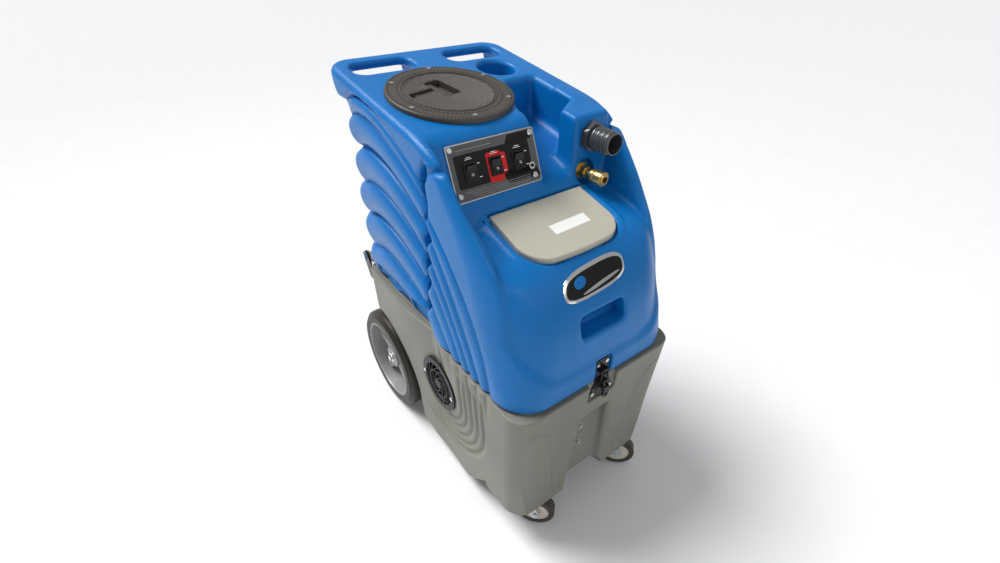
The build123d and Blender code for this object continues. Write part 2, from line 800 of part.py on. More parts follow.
BRACKET_X = 169.0
BRACKET_T = 4.0
with BuildPart() as pivot_brackets:
    for side in (-1, 1):
        with BuildSketch(across(side * (BRACKET_X - BRACKET_T), 0, 0)):
            with BuildLine():
                Polyline(
                    (247, 340),
                    (262, 340),
                    (PIVOT_Y + 11, PIVOT_Z - 14),
                    (PIVOT_Y + 11, PIVOT_Z + 3),
                    (PIVOT_Y + 4, PIVOT_Z + 10),
                    (PIVOT_Y - 6, PIVOT_Z + 10),
                    (252, PIVOT_Z - 10),
                    (247, RIM_Z),
                    close=True,
                )
            make_face()
            with Locations((PIVOT_Y, PIVOT_Z)):
                Circle(PIVOT_R, mode=Mode.SUBTRACT)
        extrude(amount=side * BRACKET_T)
    add(base_form(), mode=Mode.SUBTRACT)
keep(pivot_brackets, "pivot_brackets")

with BuildPart() as pivot_bolts:
    for side in (-1, 1):
        with BuildSketch(across(side * 157, PIVOT_Y, PIVOT_Z)):
            Circle(PIVOT_R)
        extrude(amount=side * (BRACKET_X - 157))
        with BuildSketch(across(side * BRACKET_X, PIVOT_Y, PIVOT_Z)):
            RegularPolygon(9, 6)
        extrude(amount=side * 6)
keep(pivot_bolts, "pivot_bolts")

with BuildPart() as power_inlet:
    with BuildSketch(facing_front(INLET_X, BASE_REAR_Y + 3, INLET_Z)):
        RectangleRounded(50, 34, 4)
    extrude(amount=3)
    with BuildSketch(facing_front(INLET_X, BASE_REAR_Y, INLET_Z)):
        Rectangle(28, 24)
    extrude(amount=26)
    with BuildSketch(facing_front(INLET_X, BASE_REAR_Y + 3, INLET_Z)):
        Rectangle(23, 17)
    extrude(amount=22, mode=Mode.SUBTRACT)
    with BuildSketch(facing_front(INLET_X, BASE_REAR_Y, INLET_Z)):
        with Locations((-7, -1), (7, -1), (0, 3)):
            Rectangle(2, 6)
    extrude(amount=22)
keep(power_inlet, "power_inlet")

# ---- tank ----

BLOCK_X = (84.0, 165.0)  # block that carries the hose barb
BLOCK_FRONT_Y = -113.0
BARB_X = 126.0
BARB_Z = 718.0
COUPLER_X = 120.0
COUPLER_Y = -100.0
COUPLER_Z = 655.0
BULKHEAD_Y = -88.0  # between the clean tank in front and the recovery tank behind
SLOT_X = 97.0
SLOT_Y = 204.5
CUP_X = 98.7
CUP_Y = 124.0
CUP_R = 35.8
CUP_DEPTH = 62.0
GRIP_Z = 499.0
DRAIN_X = 75.0
DRAIN_Z = 425.0
LID_PIN_R = 2.0
LID_PIN_IN = 100.5
LID_PIN_BACK = 5.5  # pin, in from the lid's rear edge and from its top
LID_PIN_Y = LID_REAR_Y - LID_PIN_BACK * cos(radians(LID_TILT)) + LID_PIN_BACK * sin(radians(LID_TILT))
LID_PIN_Z = LID_REAR_Z - LID_PIN_BACK * sin(radians(LID_TILT)) - LID_PIN_BACK * cos(radians(LID_TILT))
SWITCH_POCKET = 58.0
TROUGH = [
    (76, 62),
    (140, 66),
    (138, -44),
    (88, -72),
    (84, -135),
    (22, -135),
    (22, -80),
    (25, -42),
    (38, -12),
]
TROUGH_SIDE = [(75, 712), (-40, 684), (-130, 652), (-130, 840), (75, 840)]


def lid_outline(grow=0.0):
    """Sketch of the fill lid: straight at the rear, rounded at the front."""
    with BuildSketch() as outline:
        with BuildLine():
            rear = Line((LID_HALF_W - 2, 0), (-LID_HALF_W + 2, 0))
            left = Line(rear @ 1, (-LID_HALF_W, -LID_LEN + 46))
            low_end = (-LID_HALF_W + 48, -LID_LEN + 1)
            low_left = ThreePointArc(left @ 1, (-LID_HALF_W + 15, -LID_LEN + 15), low_end)
            front = ThreePointArc(low_left @ 1, (0, -LID_LEN - 1), (LID_HALF_W - 48, -LID_LEN + 1))
            high_end = (LID_HALF_W, -LID_LEN + 46)
            low_right = ThreePointArc(front @ 1, (LID_HALF_W - 15, -LID_LEN + 15), high_end)
            Line(low_right @ 1, rear @ 0)
        make_face()
        if grow:
            offset(amount=grow, kind=Kind.INTERSECTION)
    return outline.sketch


def slots(grow=0.0):
    """The two hand slots through the rear shelf, with the finger space under each."""
    with BuildPart() as cuts:
        for side in (-1, 1):
            with BuildSketch(deck_plane(side * SLOT_X, SLOT_Y, 10)):
                RectangleRounded(119 + 2 * grow, 53 + 2 * grow, 20 + grow)
            extrude(amount=-90)
            with BuildSketch(across(side * (SLOT_X - 61 - grow), 0, 0)):
                with BuildLine():
                    Polyline(
                        (176 - grow, 690 - grow),
                        (300, 690 - grow),
                        (300, deck_z(300) - 30 + grow),
                        (176 - grow, deck_z(176) - 30 + grow),
                        close=True,
                    )
                make_face()
            extrude(amount=side * (122 + 2 * grow))
    return cuts.part


def top_pockets(grow=0.0):
    """Cup holder and tool trough."""
    with BuildPart() as cuts:
        with BuildSketch(deck_plane(CUP_X, CUP_Y, 20)):
            Circle(CUP_R + grow)
        extrude(amount=-20 - CUP_DEPTH - grow)
        with BuildSketch(Plane.XY.offset(600)):
            with BuildLine():
                Polyline(*TROUGH, close=True)
            make_face()
            if grow:
                offset(amount=grow)
        extrude(amount=240)
    with BuildPart() as above_floor:
        with BuildSketch(Plane.YZ):
            with BuildLine():
                Polyline(*TROUGH_SIDE, close=True)
            make_face()
            if grow:
                offset(amount=grow, kind=Kind.INTERSECTION)
            with Locations((150, 760)):
                Rectangle(160, 220)
        extrude(amount=200, both=True)
    with BuildPart() as pockets:
        add(cuts.part)
        add(above_floor.part, mode=Mode.INTERSECT)
    return pockets.part


def front_pockets(grow=0.0):
    """Switch pocket, fill well, front grip and keeper seat."""
    with BuildPart() as cuts:
        with BuildSketch(panel_plane(PANEL_X, PANEL_H / 2, 4)):
            RectangleRounded(PANEL_W - 20 + 2 * grow, PANEL_H - 20 + 2 * grow, 4)
        extrude(amount=-SWITCH_POCKET - grow)
        with BuildSketch(facing_front(0, -270 + grow, GRIP_Z)):
            RectangleRounded(88 + 2 * grow, 38 + 2 * grow, 9)
        extrude(amount=70)
        with BuildSketch(facing_front(0, -309 + grow, 400)):
            Rectangle(38 + 2 * grow, 46 + 2 * grow)
        extrude(amount=20)
    return cuts.part


with BuildPart() as tank_spaces:
    add(tank_form(WALL))
    add(slots(WALL), mode=Mode.SUBTRACT)
    add(top_pockets(WALL), mode=Mode.SUBTRACT)
    add(front_pockets(WALL), mode=Mode.SUBTRACT)
    # seat under the lid and bulkhead between the two tanks
    with BuildSketch(lid_plane(-LID_T - 1 - WALL)):
        with Locations((0, -70)):
            Rectangle(400, 200)
    extrude(amount=60, mode=Mode.SUBTRACT)
    with BuildSketch(Plane.XZ.offset(-BULKHEAD_Y)):
        with Locations((0, 600)):
            Rectangle(400, 600)
    extrude(amount=WALL, mode=Mode.SUBTRACT)

with BuildPart() as tank_shell:
    add(tank_form())
    with BuildSketch(Plane.XZ.offset(-BLOCK_FRONT_Y)):
        with Locations(((BLOCK_X[0] + BLOCK_X[1]) / 2, 725)):
            Rectangle(BLOCK_X[1] - BLOCK_X[0], 110)
    extrude(amount=-60)
    add(tank_spaces.part, mode=Mode.SUBTRACT)
    with BuildSketch(deck_plane(0, 0)):
        Rectangle(600, 900)
    extrude(amount=60, mode=Mode.SUBTRACT)
    add(slots(), mode=Mode.SUBTRACT)
    add(top_pockets(), mode=Mode.SUBTRACT)
    add(front_pockets(), mode=Mode.SUBTRACT)
    # seat of the fill lid, and the mouth of the clean tank in it
    with BuildSketch(lid_plane(-LID_T - GAP)):
        add(lid_outline(2.0))
    extrude(amount=60, mode=Mode.SUBTRACT)
    with BuildSketch(lid_plane(-LID_T - GAP + 2)):
        with Locations((0, -66)):
            RectangleRounded(160, 92, 30)
    extrude(amount=-30, mode=Mode.SUBTRACT)
    # mouth of the recovery tank under the access plate
    with BuildSketch(deck_plane(PLATE_X, PLATE_Y, 5)):
        Circle(DISC_R + 5)
    extrude(amount=-30, mode=Mode.SUBTRACT)
    # niche and hole of the solution coupler
    with BuildSketch(facing_front(COUPLER_X, COUPLER_Y, COUPLER_Z)):
        Circle(22)
    extrude(amount=60, mode=Mode.SUBTRACT)
    with BuildSketch(facing_front(COUPLER_X, COUPLER_Y, COUPLER_Z)):
        Circle(7)
    extrude(amount=-16, mode=Mode.SUBTRACT)
    # outlet of the recovery tank in the rear wall
    with BuildSketch(facing_front(DRAIN_X, 270, DRAIN_Z)):
        Circle(18)
    extrude(amount=40, mode=Mode.SUBTRACT)
    # ends of the lid's hinge pin, in two lugs
    for side in (-1, 1):
        with BuildSketch(across(side * LID_PIN_IN, LID_PIN_Y, LID_PIN_Z)):
            Circle(5.5)
        extrude(amount=side * 12)
        with BuildSketch(across(side * (LID_PIN_IN - 1), LID_PIN_Y, LID_PIN_Z)):
            Circle(LID_PIN_R)
        extrude(amount=side * 9, mode=Mode.SUBTRACT)
    # passage from the hose barb down into the recovery tank
    with BuildSketch(facing_front(BARB_X, BLOCK_FRONT_Y, BARB_Z)):
        Circle(17)
    extrude(amount=-34, mode=Mode.SUBTRACT)
    with BuildSketch(Plane((BARB_X, BLOCK_FRONT_Y + 26, BARB_Z))):
        Circle(9)
    extrude(amount=-90, mode=Mode.SUBTRACT)
    # port of the standpipe in the tank's floor
    with BuildSketch(Plane((DUCT_X, DUCT_Y, TANK_Z - 5))):
        Circle(DUCT_R - 3)
    extrude(amount=WALL + 6, mode=Mode.SUBTRACT)
keep(tank_shell, "tank_shell")

with BuildPart() as pivot_ears:
    for side in (-1, 1):
        with BuildSketch(across(side * (BRACKET_X - BRACKET_T - GAP), 0, 0)):
            with BuildLine():
                Polyline(
                    (225, PIVOT_Z - 9),
                    (PIVOT_Y, PIVOT_Z - 9),
                    (PIVOT_Y, PIVOT_Z + 9),
                    (225, PIVOT_Z + 30),
                    close=True,
                )
            make_face()
            with Locations((PIVOT_Y, PIVOT_Z)):
                Circle(11)
                Circle(PIVOT_R + RUN, mode=Mode.SUBTRACT)
        extrude(amount=-side * BRACKET_T)
    add(tank_form(), mode=Mode.SUBTRACT)
keep(pivot_ears, "pivot_ears")

# ---- keeper of the latch ----

KEEPER_Y = -309.0
with BuildPart() as latch_keeper:
    with BuildSketch(facing_front(0, KEEPER_Y, 405)):
        RectangleRounded(33, 26, 4)
        with Locations((-10.5, 5), (10.5, 5)):
            Circle(2, mode=Mode.SUBTRACT)
    extrude(amount=2)
    with BuildSketch(facing_front(0, KEEPER_Y - 2, 396.5)):
        Rectangle(20, 3)
    extrude(amount=6.8)
keep(latch_keeper, "latch_keeper")

with BuildPart() as keeper_rivets:
    with BuildSketch(facing_front(0, KEEPER_Y - 2, 410)):
        with Locations((-10.5, 0), (10.5, 0)):
            Circle(3.8)
    extrude(amount=1.6)
    with BuildSketch(facing_front(0, KEEPER_Y - 2, 410)):
        with Locations((-10.5, 0), (10.5, 0)):
            Circle(2)
    extrude(amount=-2)
keep(keeper_rivets, "keeper_rivets")

# ---- access plate over the recovery tank ----

RING_T = 8.0
SCREW_RING_R = 98.0
HANDLE_TURN = 11.0
EYE_X = -55.5
EYE_Y = 7.0
HANDLE_LEN = 42.0


def plate_plane(lift=0.0):
    """Plane of the access plate, at its centre."""
    return deck_plane(PLATE_X, PLATE_Y, lift)


def handle_plane(lift=0.0):
    """Plane at the handle's eye, its x along the handle's bar."""
    origin = plate_plane(lift).from_local_coords(Vector(EYE_X, EYE_Y, 0))
    a = radians(HANDLE_TURN)
    flat = plate_plane(lift)
    return Plane(origin=origin, x_dir=flat.x_dir * cos(a) + flat.y_dir * sin(a), z_dir=flat.z_dir)


def eye_plane():
    """Plane across the handle's eye, its z along the eye's pin."""
    flat = handle_plane(1)
    return Plane(origin=flat.origin, x_dir=flat.x_dir, z_dir=flat.y_dir)


with BuildPart() as access_ring:
    with BuildSketch(plate_plane()):
        Circle(PLATE_R)
        Circle(DISC_R + GAP, mode=Mode.SUBTRACT)
    extrude(amount=RING_T)
    fillet(access_ring.edges().filter_by(GeomType.CIRCLE).sort_by(SortBy.RADIUS).last, 3)
    with BuildSketch(plate_plane()):
        Circle(DISC_R + 4.7)
        Circle(DISC_R + GAP, mode=Mode.SUBTRACT)
    extrude(amount=-15)
    with BuildSketch(plate_plane(-15)):
        Circle(DISC_R + 4.7)
        Circle(DISC_R - 7, mode=Mode.SUBTRACT)
    extrude(amount=4)
    with BuildSketch(plate_plane(-10)):
        with PolarLocations(SCREW_RING_R, 6, start_angle=21):
            Circle(2)
    extrude(amount=30, mode=Mode.SUBTRACT)
keep(access_ring, "access_ring")

with BuildPart() as access_ring_screws:
    with BuildSketch(plate_plane(RING_T)):
        with PolarLocations(SCREW_RING_R, 6, start_angle=21):
            Circle(4)
    extrude(amount=1.5)
    with BuildSketch(plate_plane(RING_T)):
        with PolarLocations(SCREW_RING_R, 6, start_angle=21):
            Circle(2)
    extrude(amount=-RING_T)
keep(access_ring_screws, "access_ring_screws")

with BuildPart() as access_disc:
    with BuildSketch(plate_plane(RING_T - 1)):
        Circle(DISC_R)
    extrude(amount=-5)
    with BuildSketch(plate_plane(RING_T - 6)):
        Circle(DISC_R)
        Circle(DISC_R - 5, mode=Mode.SUBTRACT)
    extrude(amount=-12.7)
    # pan that the handle folds into
    with BuildSketch(handle_plane(RING_T - 6)):
        with Locations((34, 0)):
            RectangleRounded(84, 66, 8)
    extrude(amount=-12)
    with BuildSketch(handle_plane(RING_T)):
        with Locations((HANDLE_LEN / 2 - 5, 0)):
            RectangleRounded(HANDLE_LEN + 22, 17, 6)
        with Locations((HANDLE_LEN + 9, 0)):
            RectangleRounded(32, 62, 7)
    extrude(amount=-11, mode=Mode.SUBTRACT)
    with BuildSketch(handle_plane(RING_T)):
        Circle(8.2)
    extrude(amount=-15, mode=Mode.SUBTRACT)
    # pin of the handle
    with BuildSketch(eye_plane()):
        Circle(1.5)
    extrude(amount=9, both=True)
keep(access_disc, "access_disc")

with BuildPart() as disc_handle:
    with BuildSketch(handle_plane(-1.5)):
        Circle(6)
        with Locations((HANDLE_LEN / 2, 0)):
            Rectangle(HANDLE_LEN, 8)
        with Locations((HANDLE_LEN + 2, 0)):
            RectangleRounded(10, 56, 4)
    extrude(amount=5)
    with BuildSketch(eye_plane()):
        Circle(1.5 + RUN)
    extrude(amount=9, both=True, mode=Mode.SUBTRACT)
keep(disc_handle, "disc_handle")

# ---- fill lid ----

with BuildPart() as fill_lid:
    with BuildSketch(lid_plane(-LID_T)):
        add(lid_outline())
        Rectangle(400, 2 * LID_PIN_BACK, mode=Mode.SUBTRACT)
    extrude(amount=LID_T)
    top_edges = fill_lid.faces().sort_by(Axis(lid_plane().origin, lid_plane().z_dir)).last.edges()
    fillet(top_edges.filter_by(lambda e: e.center().Y < LID_PIN_Y - 3), 3)
    with BuildSketch(across(0, LID_PIN_Y, LID_PIN_Z)):
        Circle(LID_PIN_BACK)
    extrude(amount=LID_HALF_W - 2.5, both=True)
    with BuildSketch(across(0, LID_PIN_Y, LID_PIN_Z)):
        Circle(LID_PIN_R + RUN)
    extrude(amount=LID_HALF_W + 5, both=True, mode=Mode.SUBTRACT)
keep(fill_lid, "fill_lid")

with BuildPart() as lid_pin:
    with BuildSketch(across(0, LID_PIN_Y, LID_PIN_Z)):
        Circle(LID_PIN_R)
    extrude(amount=LID_PIN_IN + 8, both=True)
keep(lid_pin, "lid_pin")

# ---- switch panel ----

PANEL_T = 2.5
SWITCHES = ((-111.5, 44.5, "left"), (-65.0, 45.0, "middle"), (-19.5, 45.3, "right"))
SCREWS = ((-140.5, 7.0), (12.0, 7.8), (7.3, 76.0), (-139.3, 76.5))
BREAKER = (3.4, 60.0)


def spots(places):
    """Places on the panel as x and y of the panel's own plane."""
    return [(x - PANEL_X, PANEL_H / 2 - down) for x, down in places]


with BuildPart() as switch_panel:
    with BuildSketch(panel_plane(PANEL_X, PANEL_H / 2)):
        RectangleRounded(PANEL_W, PANEL_H, 4)
        with Locations(*spots([(x, down) for x, down, _ in SWITCHES])):
            Rectangle(20.4, 26.4, mode=Mode.SUBTRACT)
        with Locations(*spots(SCREWS)):
            Circle(2.2, mode=Mode.SUBTRACT)
        with Locations(*spots([BREAKER])):
            Circle(4, mode=Mode.SUBTRACT)
    extrude(amount=PANEL_T)
keep(switch_panel, "switch_panel")

with BuildPart() as panel_screws:
    with BuildSketch(panel_plane(PANEL_X, PANEL_H / 2, PANEL_T)):
        with Locations(*spots(SCREWS)):
            Circle(5)
    extrude(amount=2.6)
    chamfer(panel_screws.faces().sort_by(Axis((0, 0, 0), panel_plane(0, 0).z_dir))[-4:].edges(), 1.2)
    with BuildSketch(panel_plane(PANEL_X, PANEL_H / 2, PANEL_T)):
        with Locations(*spots(SCREWS)):
            Circle(2.2)
    extrude(amount=-PANEL_T)
keep(panel_screws, "panel_screws")

with BuildPart() as breaker_bushing:
    with BuildSketch(panel_plane(PANEL_X, PANEL_H / 2, PANEL_T)):
        with Locations(*spots([BREAKER])):
            RegularPolygon(6.5, 6)
    extrude(amount=2.5)
    with BuildSketch(panel_plane(PANEL_X, PANEL_H / 2, PANEL_T)):
        with Locations(*spots([BREAKER])):
            Circle(4)
    extrude(amount=-18)
    with BuildSketch(panel_plane(PANEL_X, PANEL_H / 2, PANEL_T + 3)):
        with Locations(*spots([BREAKER])):
            Circle(2.6)
    extrude(amount=-16, mode=Mode.SUBTRACT)
keep(breaker_bushing, "breaker_bushing")

with BuildPart() as breaker_button:
    with BuildSketch(panel_plane(PANEL_X, PANEL_H / 2, PANEL_T + 4.5)):
        with Locations(*spots([BREAKER])):
            Circle(2.6 - RUN)
    extrude(amount=-13)
keep(breaker_button, "breaker_button")

with BuildPart() as switch_bezels:
    with BuildSketch(panel_plane(PANEL_X, PANEL_H / 2, PANEL_T)):
        with Locations(*spots([(x, down) for x, down, _ in SWITCHES])):
            RectangleRounded(24, 30, 1.5)
    extrude(amount=2)
    with BuildSketch(panel_plane(PANEL_X, PANEL_H / 2, PANEL_T)):
        with Locations(*spots([(x, down) for x, down, _ in SWITCHES])):
            Rectangle(20.4, 26.4)
    extrude(amount=-16)
    with BuildSketch(panel_plane(PANEL_X, PANEL_H / 2, PANEL_T + 3)):
        with Locations(*spots([(x, down) for x, down, _ in SWITCHES])):
            Rectangle(17.6, 23.6)
    extrude(amount=-15, mode=Mode.SUBTRACT)
keep(switch_bezels, "switch_bezels")

ROCK = 10.0  # each way from level
ROCKER_HALF = 10.8
UP_ROCKER = (0, -cos(radians(PANEL_TILT - ROCK)), sin(radians(PANEL_TILT - ROCK)))
for x, down, name in SWITCHES:
    middle = panel_plane(x, down, PANEL_T).origin
    with BuildPart() as rocker:
        with BuildSketch(Plane(origin=middle, x_dir=UP_ROCKER, z_dir=(1, 0, 0))):
            with BuildLine():
                Polyline(
                    (-4, -9.6),
                    (4.6, -ROCKER_HALF),
                    (2.6, 0),
                    (4.6, ROCKER_HALF),
                    (-4, 9.6),
                    close=True,
                )
            make_face()
        extrude(amount=8.4, both=True)
        # stubs that it turns on
        with BuildSketch(across(*middle)):
            Circle(1.2)
        extrude(amount=8.75, both=True)
    keep(rocker, f"rocker_{name}")

# ---- hose barb, coupler ----


def turned(builder_points, x, z):
    """Solid turned about a front-to-back axis: points are distance forward of y = 0 and radius."""
    with BuildPart() as solid:
        with BuildSketch(Plane(origin=(x, 0, z), x_dir=(0, 1, 0), z_dir=(1, 0, 0))):
            with BuildLine():
                Polyline(*builder_points, close=True)
            make_face()
        revolve(axis=Axis((x, 0, z), (0, 1, 0)))
    return solid.part


BARB_FRONT_Y = -168.0
BARB_BORE_R = 16.5
BARB_PROFILE = [
    (BLOCK_FRONT_Y, BARB_BORE_R),
    (BARB_FRONT_Y, BARB_BORE_R),
    (BARB_FRONT_Y, 18.5),
    (-158, 20.6),
    (-158, 19.0),
    (-148, 20.6),
    (-148, 19.0),
    (-138, 20.6),
    (-138, 19.0),
    (BLOCK_FRONT_Y, 19.0),
]
with BuildPart() as hose_barb:
    add(turned(BARB_PROFILE, BARB_X, BARB_Z))
    with BuildSketch(facing_front(BARB_X, BLOCK_FRONT_Y, BARB_Z)):
        RegularPolygon(27, 6, rotation=30)
        Circle(BARB_BORE_R, mode=Mode.SUBTRACT)
    extrude(amount=12)
keep(hose_barb, "hose_barb")

with BuildPart() as coupler_adapter:
    with BuildSketch(facing_front(COUPLER_X, COUPLER_Y, COUPLER_Z)):
        Circle(15)
    extrude(amount=4)
    with BuildSketch(facing_front(COUPLER_X, COUPLER_Y, COUPLER_Z)):
        Circle(6.8)
    extrude(amount=-15)
keep(coupler_adapter, "coupler_adapter")

SLEEVE_R = 12.5
with BuildPart() as coupler_body:
    with BuildSketch(facing_front(COUPLER_X, COUPLER_Y - 4, COUPLER_Z)):
        RegularPolygon(11.5, 6)
    extrude(amount=14)
    with BuildSketch(facing_front(COUPLER_X, COUPLER_Y - 18, COUPLER_Z)):
        Circle(8)
    extrude(amount=43)
    with BuildSketch(facing_front(COUPLER_X, COUPLER_Y - 59, COUPLER_Z)):
        Circle(9.5)
    extrude(amount=2)
    with BuildSketch(facing_front(COUPLER_X, COUPLER_Y - 61, COUPLER_Z)):
        Circle(5.5)
    extrude(amount=-24, mode=Mode.SUBTRACT)
keep(coupler_body, "coupler_body")

with BuildPart() as coupler_sleeve:
    with BuildSketch(facing_front(COUPLER_X, COUPLER_Y - 34, COUPLER_Z)):
        Circle(SLEEVE_R)
    extrude(amount=24.6)
    with BuildSketch(facing_front(COUPLER_X, COUPLER_Y - 40, COUPLER_Z)):
        Circle(SLEEVE_R + 1)
        Circle(SLEEVE_R - 1.2, mode=Mode.SUBTRACT)
    extrude(amount=3, mode=Mode.SUBTRACT)
    with BuildSketch(facing_front(COUPLER_X, COUPLER_Y - 30, COUPLER_Z)):
        Circle(8 + RUN)
    extrude(amount=40, mode=Mode.SUBTRACT)
keep(coupler_sleeve, "coupler_sleeve")

# ---- standpipe and shut-off float inside the recovery tank ----

PIPE_TOP_Z = 674.0
FLOAT_Z = 570.0
with BuildPart() as standpipe:
    with BuildSketch(Plane((DUCT_X, DUCT_Y, TANK_Z + WALL))):
        Circle(DUCT_R)
    extrude(amount=PIPE_TOP_Z - TANK_Z - WALL)
    with BuildSketch(Plane((DUCT_X, DUCT_Y, TANK_Z + WALL - 1))):
        Circle(DUCT_R - 3)
    extrude(amount=PIPE_TOP_Z - 4 - TANK_Z - WALL, mode=Mode.SUBTRACT)
    # air slots under the cap, and the collar that the float rests on
    with BuildSketch(across(DUCT_X - 30, DUCT_Y, 652)):
        SlotOverall(30, 10, rotation=90)
    extrude(amount=60, mode=Mode.SUBTRACT)
    with BuildSketch(facing_front(DUCT_X, DUCT_Y + 30, 652)):
        SlotOverall(30, 10, rotation=90)
    extrude(amount=60, mode=Mode.SUBTRACT)
    with BuildSketch(Plane((DUCT_X, DUCT_Y, FLOAT_Z - 5))):
        Circle(DUCT_R + 5)
        Circle(DUCT_R - 3, mode=Mode.SUBTRACT)
    extrude(amount=4.7)
keep(standpipe, "standpipe")

with BuildPart() as shutoff_float:
    with BuildSketch(Plane((DUCT_X, DUCT_Y, FLOAT_Z))):
        Circle(38)
        Circle(DUCT_R + 0.4, mode=Mode.SUBTRACT)
    extrude(amount=42)
keep(shutoff_float, "shutoff_float")

# ---- drain valve at the rear ----

VALVE_Y = 262.0
GATE_T = 3.0
with BuildPart() as drain_valve:
    with BuildSketch(facing_front(DRAIN_X, VALVE_Y, DRAIN_Z)):
        Circle(30)
    extrude(amount=22)
    with BuildSketch(facing_front(DRAIN_X, VALVE_Y + 12, DRAIN_Z)):
        with Locations((0, 6)):
            RectangleRounded(58, 78, 8)
    extrude(amount=12)
    with BuildSketch(facing_front(DRAIN_X, VALVE_Y + 36, DRAIN_Z)):
        Circle(21)
    extrude(amount=24)
    with BuildSketch(facing_front(DRAIN_X, VALVE_Y + 40, DRAIN_Z)):
        Circle(18)
    extrude(amount=70, mode=Mode.SUBTRACT)
    with BuildSketch(Plane((DRAIN_X, VALVE_Y + 6, DRAIN_Z - 24))):
        Rectangle(46 + 2 * GAP, GATE_T + 2 * GAP)
    extrude(amount=80, mode=Mode.SUBTRACT)
    add(tank_form(), mode=Mode.SUBTRACT)
keep(drain_valve, "drain_valve")

with BuildPart() as drain_gate:
    with BuildSketch(facing_front(DRAIN_X, VALVE_Y + 6 + GATE_T / 2, DRAIN_Z)):
        with Locations((0, 13)):
            Rectangle(46, 73)
    extrude(amount=GATE_T)
    with BuildSketch(facing_front(DRAIN_X, VALVE_Y + 12, DRAIN_Z + 54)):
        RectangleRounded(46, 12, 5)
    extrude(amount=12)
keep(drain_gate, "drain_gate")
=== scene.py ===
import json
import math

import bmesh
import bpy
import numpy as np
from mathutils import Matrix, Vector

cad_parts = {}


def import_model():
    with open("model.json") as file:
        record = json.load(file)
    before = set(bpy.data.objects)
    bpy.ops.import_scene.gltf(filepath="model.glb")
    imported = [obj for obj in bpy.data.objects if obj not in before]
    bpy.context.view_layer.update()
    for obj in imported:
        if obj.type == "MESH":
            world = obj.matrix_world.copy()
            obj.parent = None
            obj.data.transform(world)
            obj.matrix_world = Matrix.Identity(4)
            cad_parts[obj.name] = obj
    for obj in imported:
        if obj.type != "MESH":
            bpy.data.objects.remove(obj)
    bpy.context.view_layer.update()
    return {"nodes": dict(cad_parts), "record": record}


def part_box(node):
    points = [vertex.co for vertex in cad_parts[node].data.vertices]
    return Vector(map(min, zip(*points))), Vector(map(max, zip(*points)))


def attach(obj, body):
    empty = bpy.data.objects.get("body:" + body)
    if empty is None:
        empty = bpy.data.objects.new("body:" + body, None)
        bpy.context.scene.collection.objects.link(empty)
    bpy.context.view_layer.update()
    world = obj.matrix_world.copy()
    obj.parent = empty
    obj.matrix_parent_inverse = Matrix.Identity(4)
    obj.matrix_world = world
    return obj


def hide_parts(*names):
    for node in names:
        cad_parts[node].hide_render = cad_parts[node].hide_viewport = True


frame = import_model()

MM = 0.001

# The two shells are described in millimetres by signed distances: negative inside, positive outside.
# A mesher turns each description into a closed mesh. The hose barb and the vent grilles are built
# again as well, small surface details are added, and every other piece keeps its CAD node.


# ---- distances ----


def flat_max(a, *others):
    for b in others:
        a = np.maximum(a, b)
    return a


def round_max(a, b, r):
    """Intersection whose edge is a round of radius r."""
    u = np.maximum(a + r, 0)
    v = np.maximum(b + r, 0)
    return np.minimum(-r, np.maximum(a, b)) + np.hypot(u, v)


def round_min(a, b, r):
    """Union whose inside corner is a fillet of radius r."""
    return -round_max(-a, -b, r)


def cut(a, b, r):
    """a without b, with the new edge rounded by r."""
    return round_max(a, -b, r)


def ramp(t, low, high):
    """Smooth step from 0 at low to 1 at high."""
    s = np.clip((t - low) / (high - low), 0, 1)
    return s * s * (3 - 2 * s)


def rect(x, y, half_x, half_y, r):
    """Distance to a rectangle with round corners."""
    u = np.abs(x) - half_x + r
    v = np.abs(y) - half_y + r
    return np.minimum(np.maximum(u, v), 0) + np.hypot(np.maximum(u, 0), np.maximum(v, 0)) - r


def disc(x, y, r):
    return np.hypot(x, y) - r


def curve(points, at):
    """Smooth curve through a few points, as a function of the first coordinate."""
    t = np.array([p[0] for p in points], float)
    v = np.array([p[1] for p in points], float)
    step = np.diff(t)
    slope = np.diff(v) / step
    m = np.empty_like(t)
    m[1:-1] = (slope[:-1] * step[1:] + slope[1:] * step[:-1]) / (step[1:] + step[:-1])
    m[0] = slope[0]
    m[-1] = slope[-1]
    at = np.clip(at, t[0], t[-1])
    i = np.clip(np.searchsorted(t, at) - 1, 0, len(t) - 2)
    h = step[i]
    s = (at - t[i]) / h
    a = (1 + 2 * s) * (1 - s) ** 2 * v[i] + s * (1 - s) ** 2 * h * m[i]
    b = s * s * (3 - 2 * s) * v[i + 1] + s * s * (s - 1) * h * m[i + 1]
    return a + b


# ---- mesher ----

EDGES = [(a, a | bit) for bit in (1, 2, 4) for a in range(8) if not a & bit]


def corner(i):
    return np.array([i & 1, i >> 1 & 1, i >> 2 & 1])


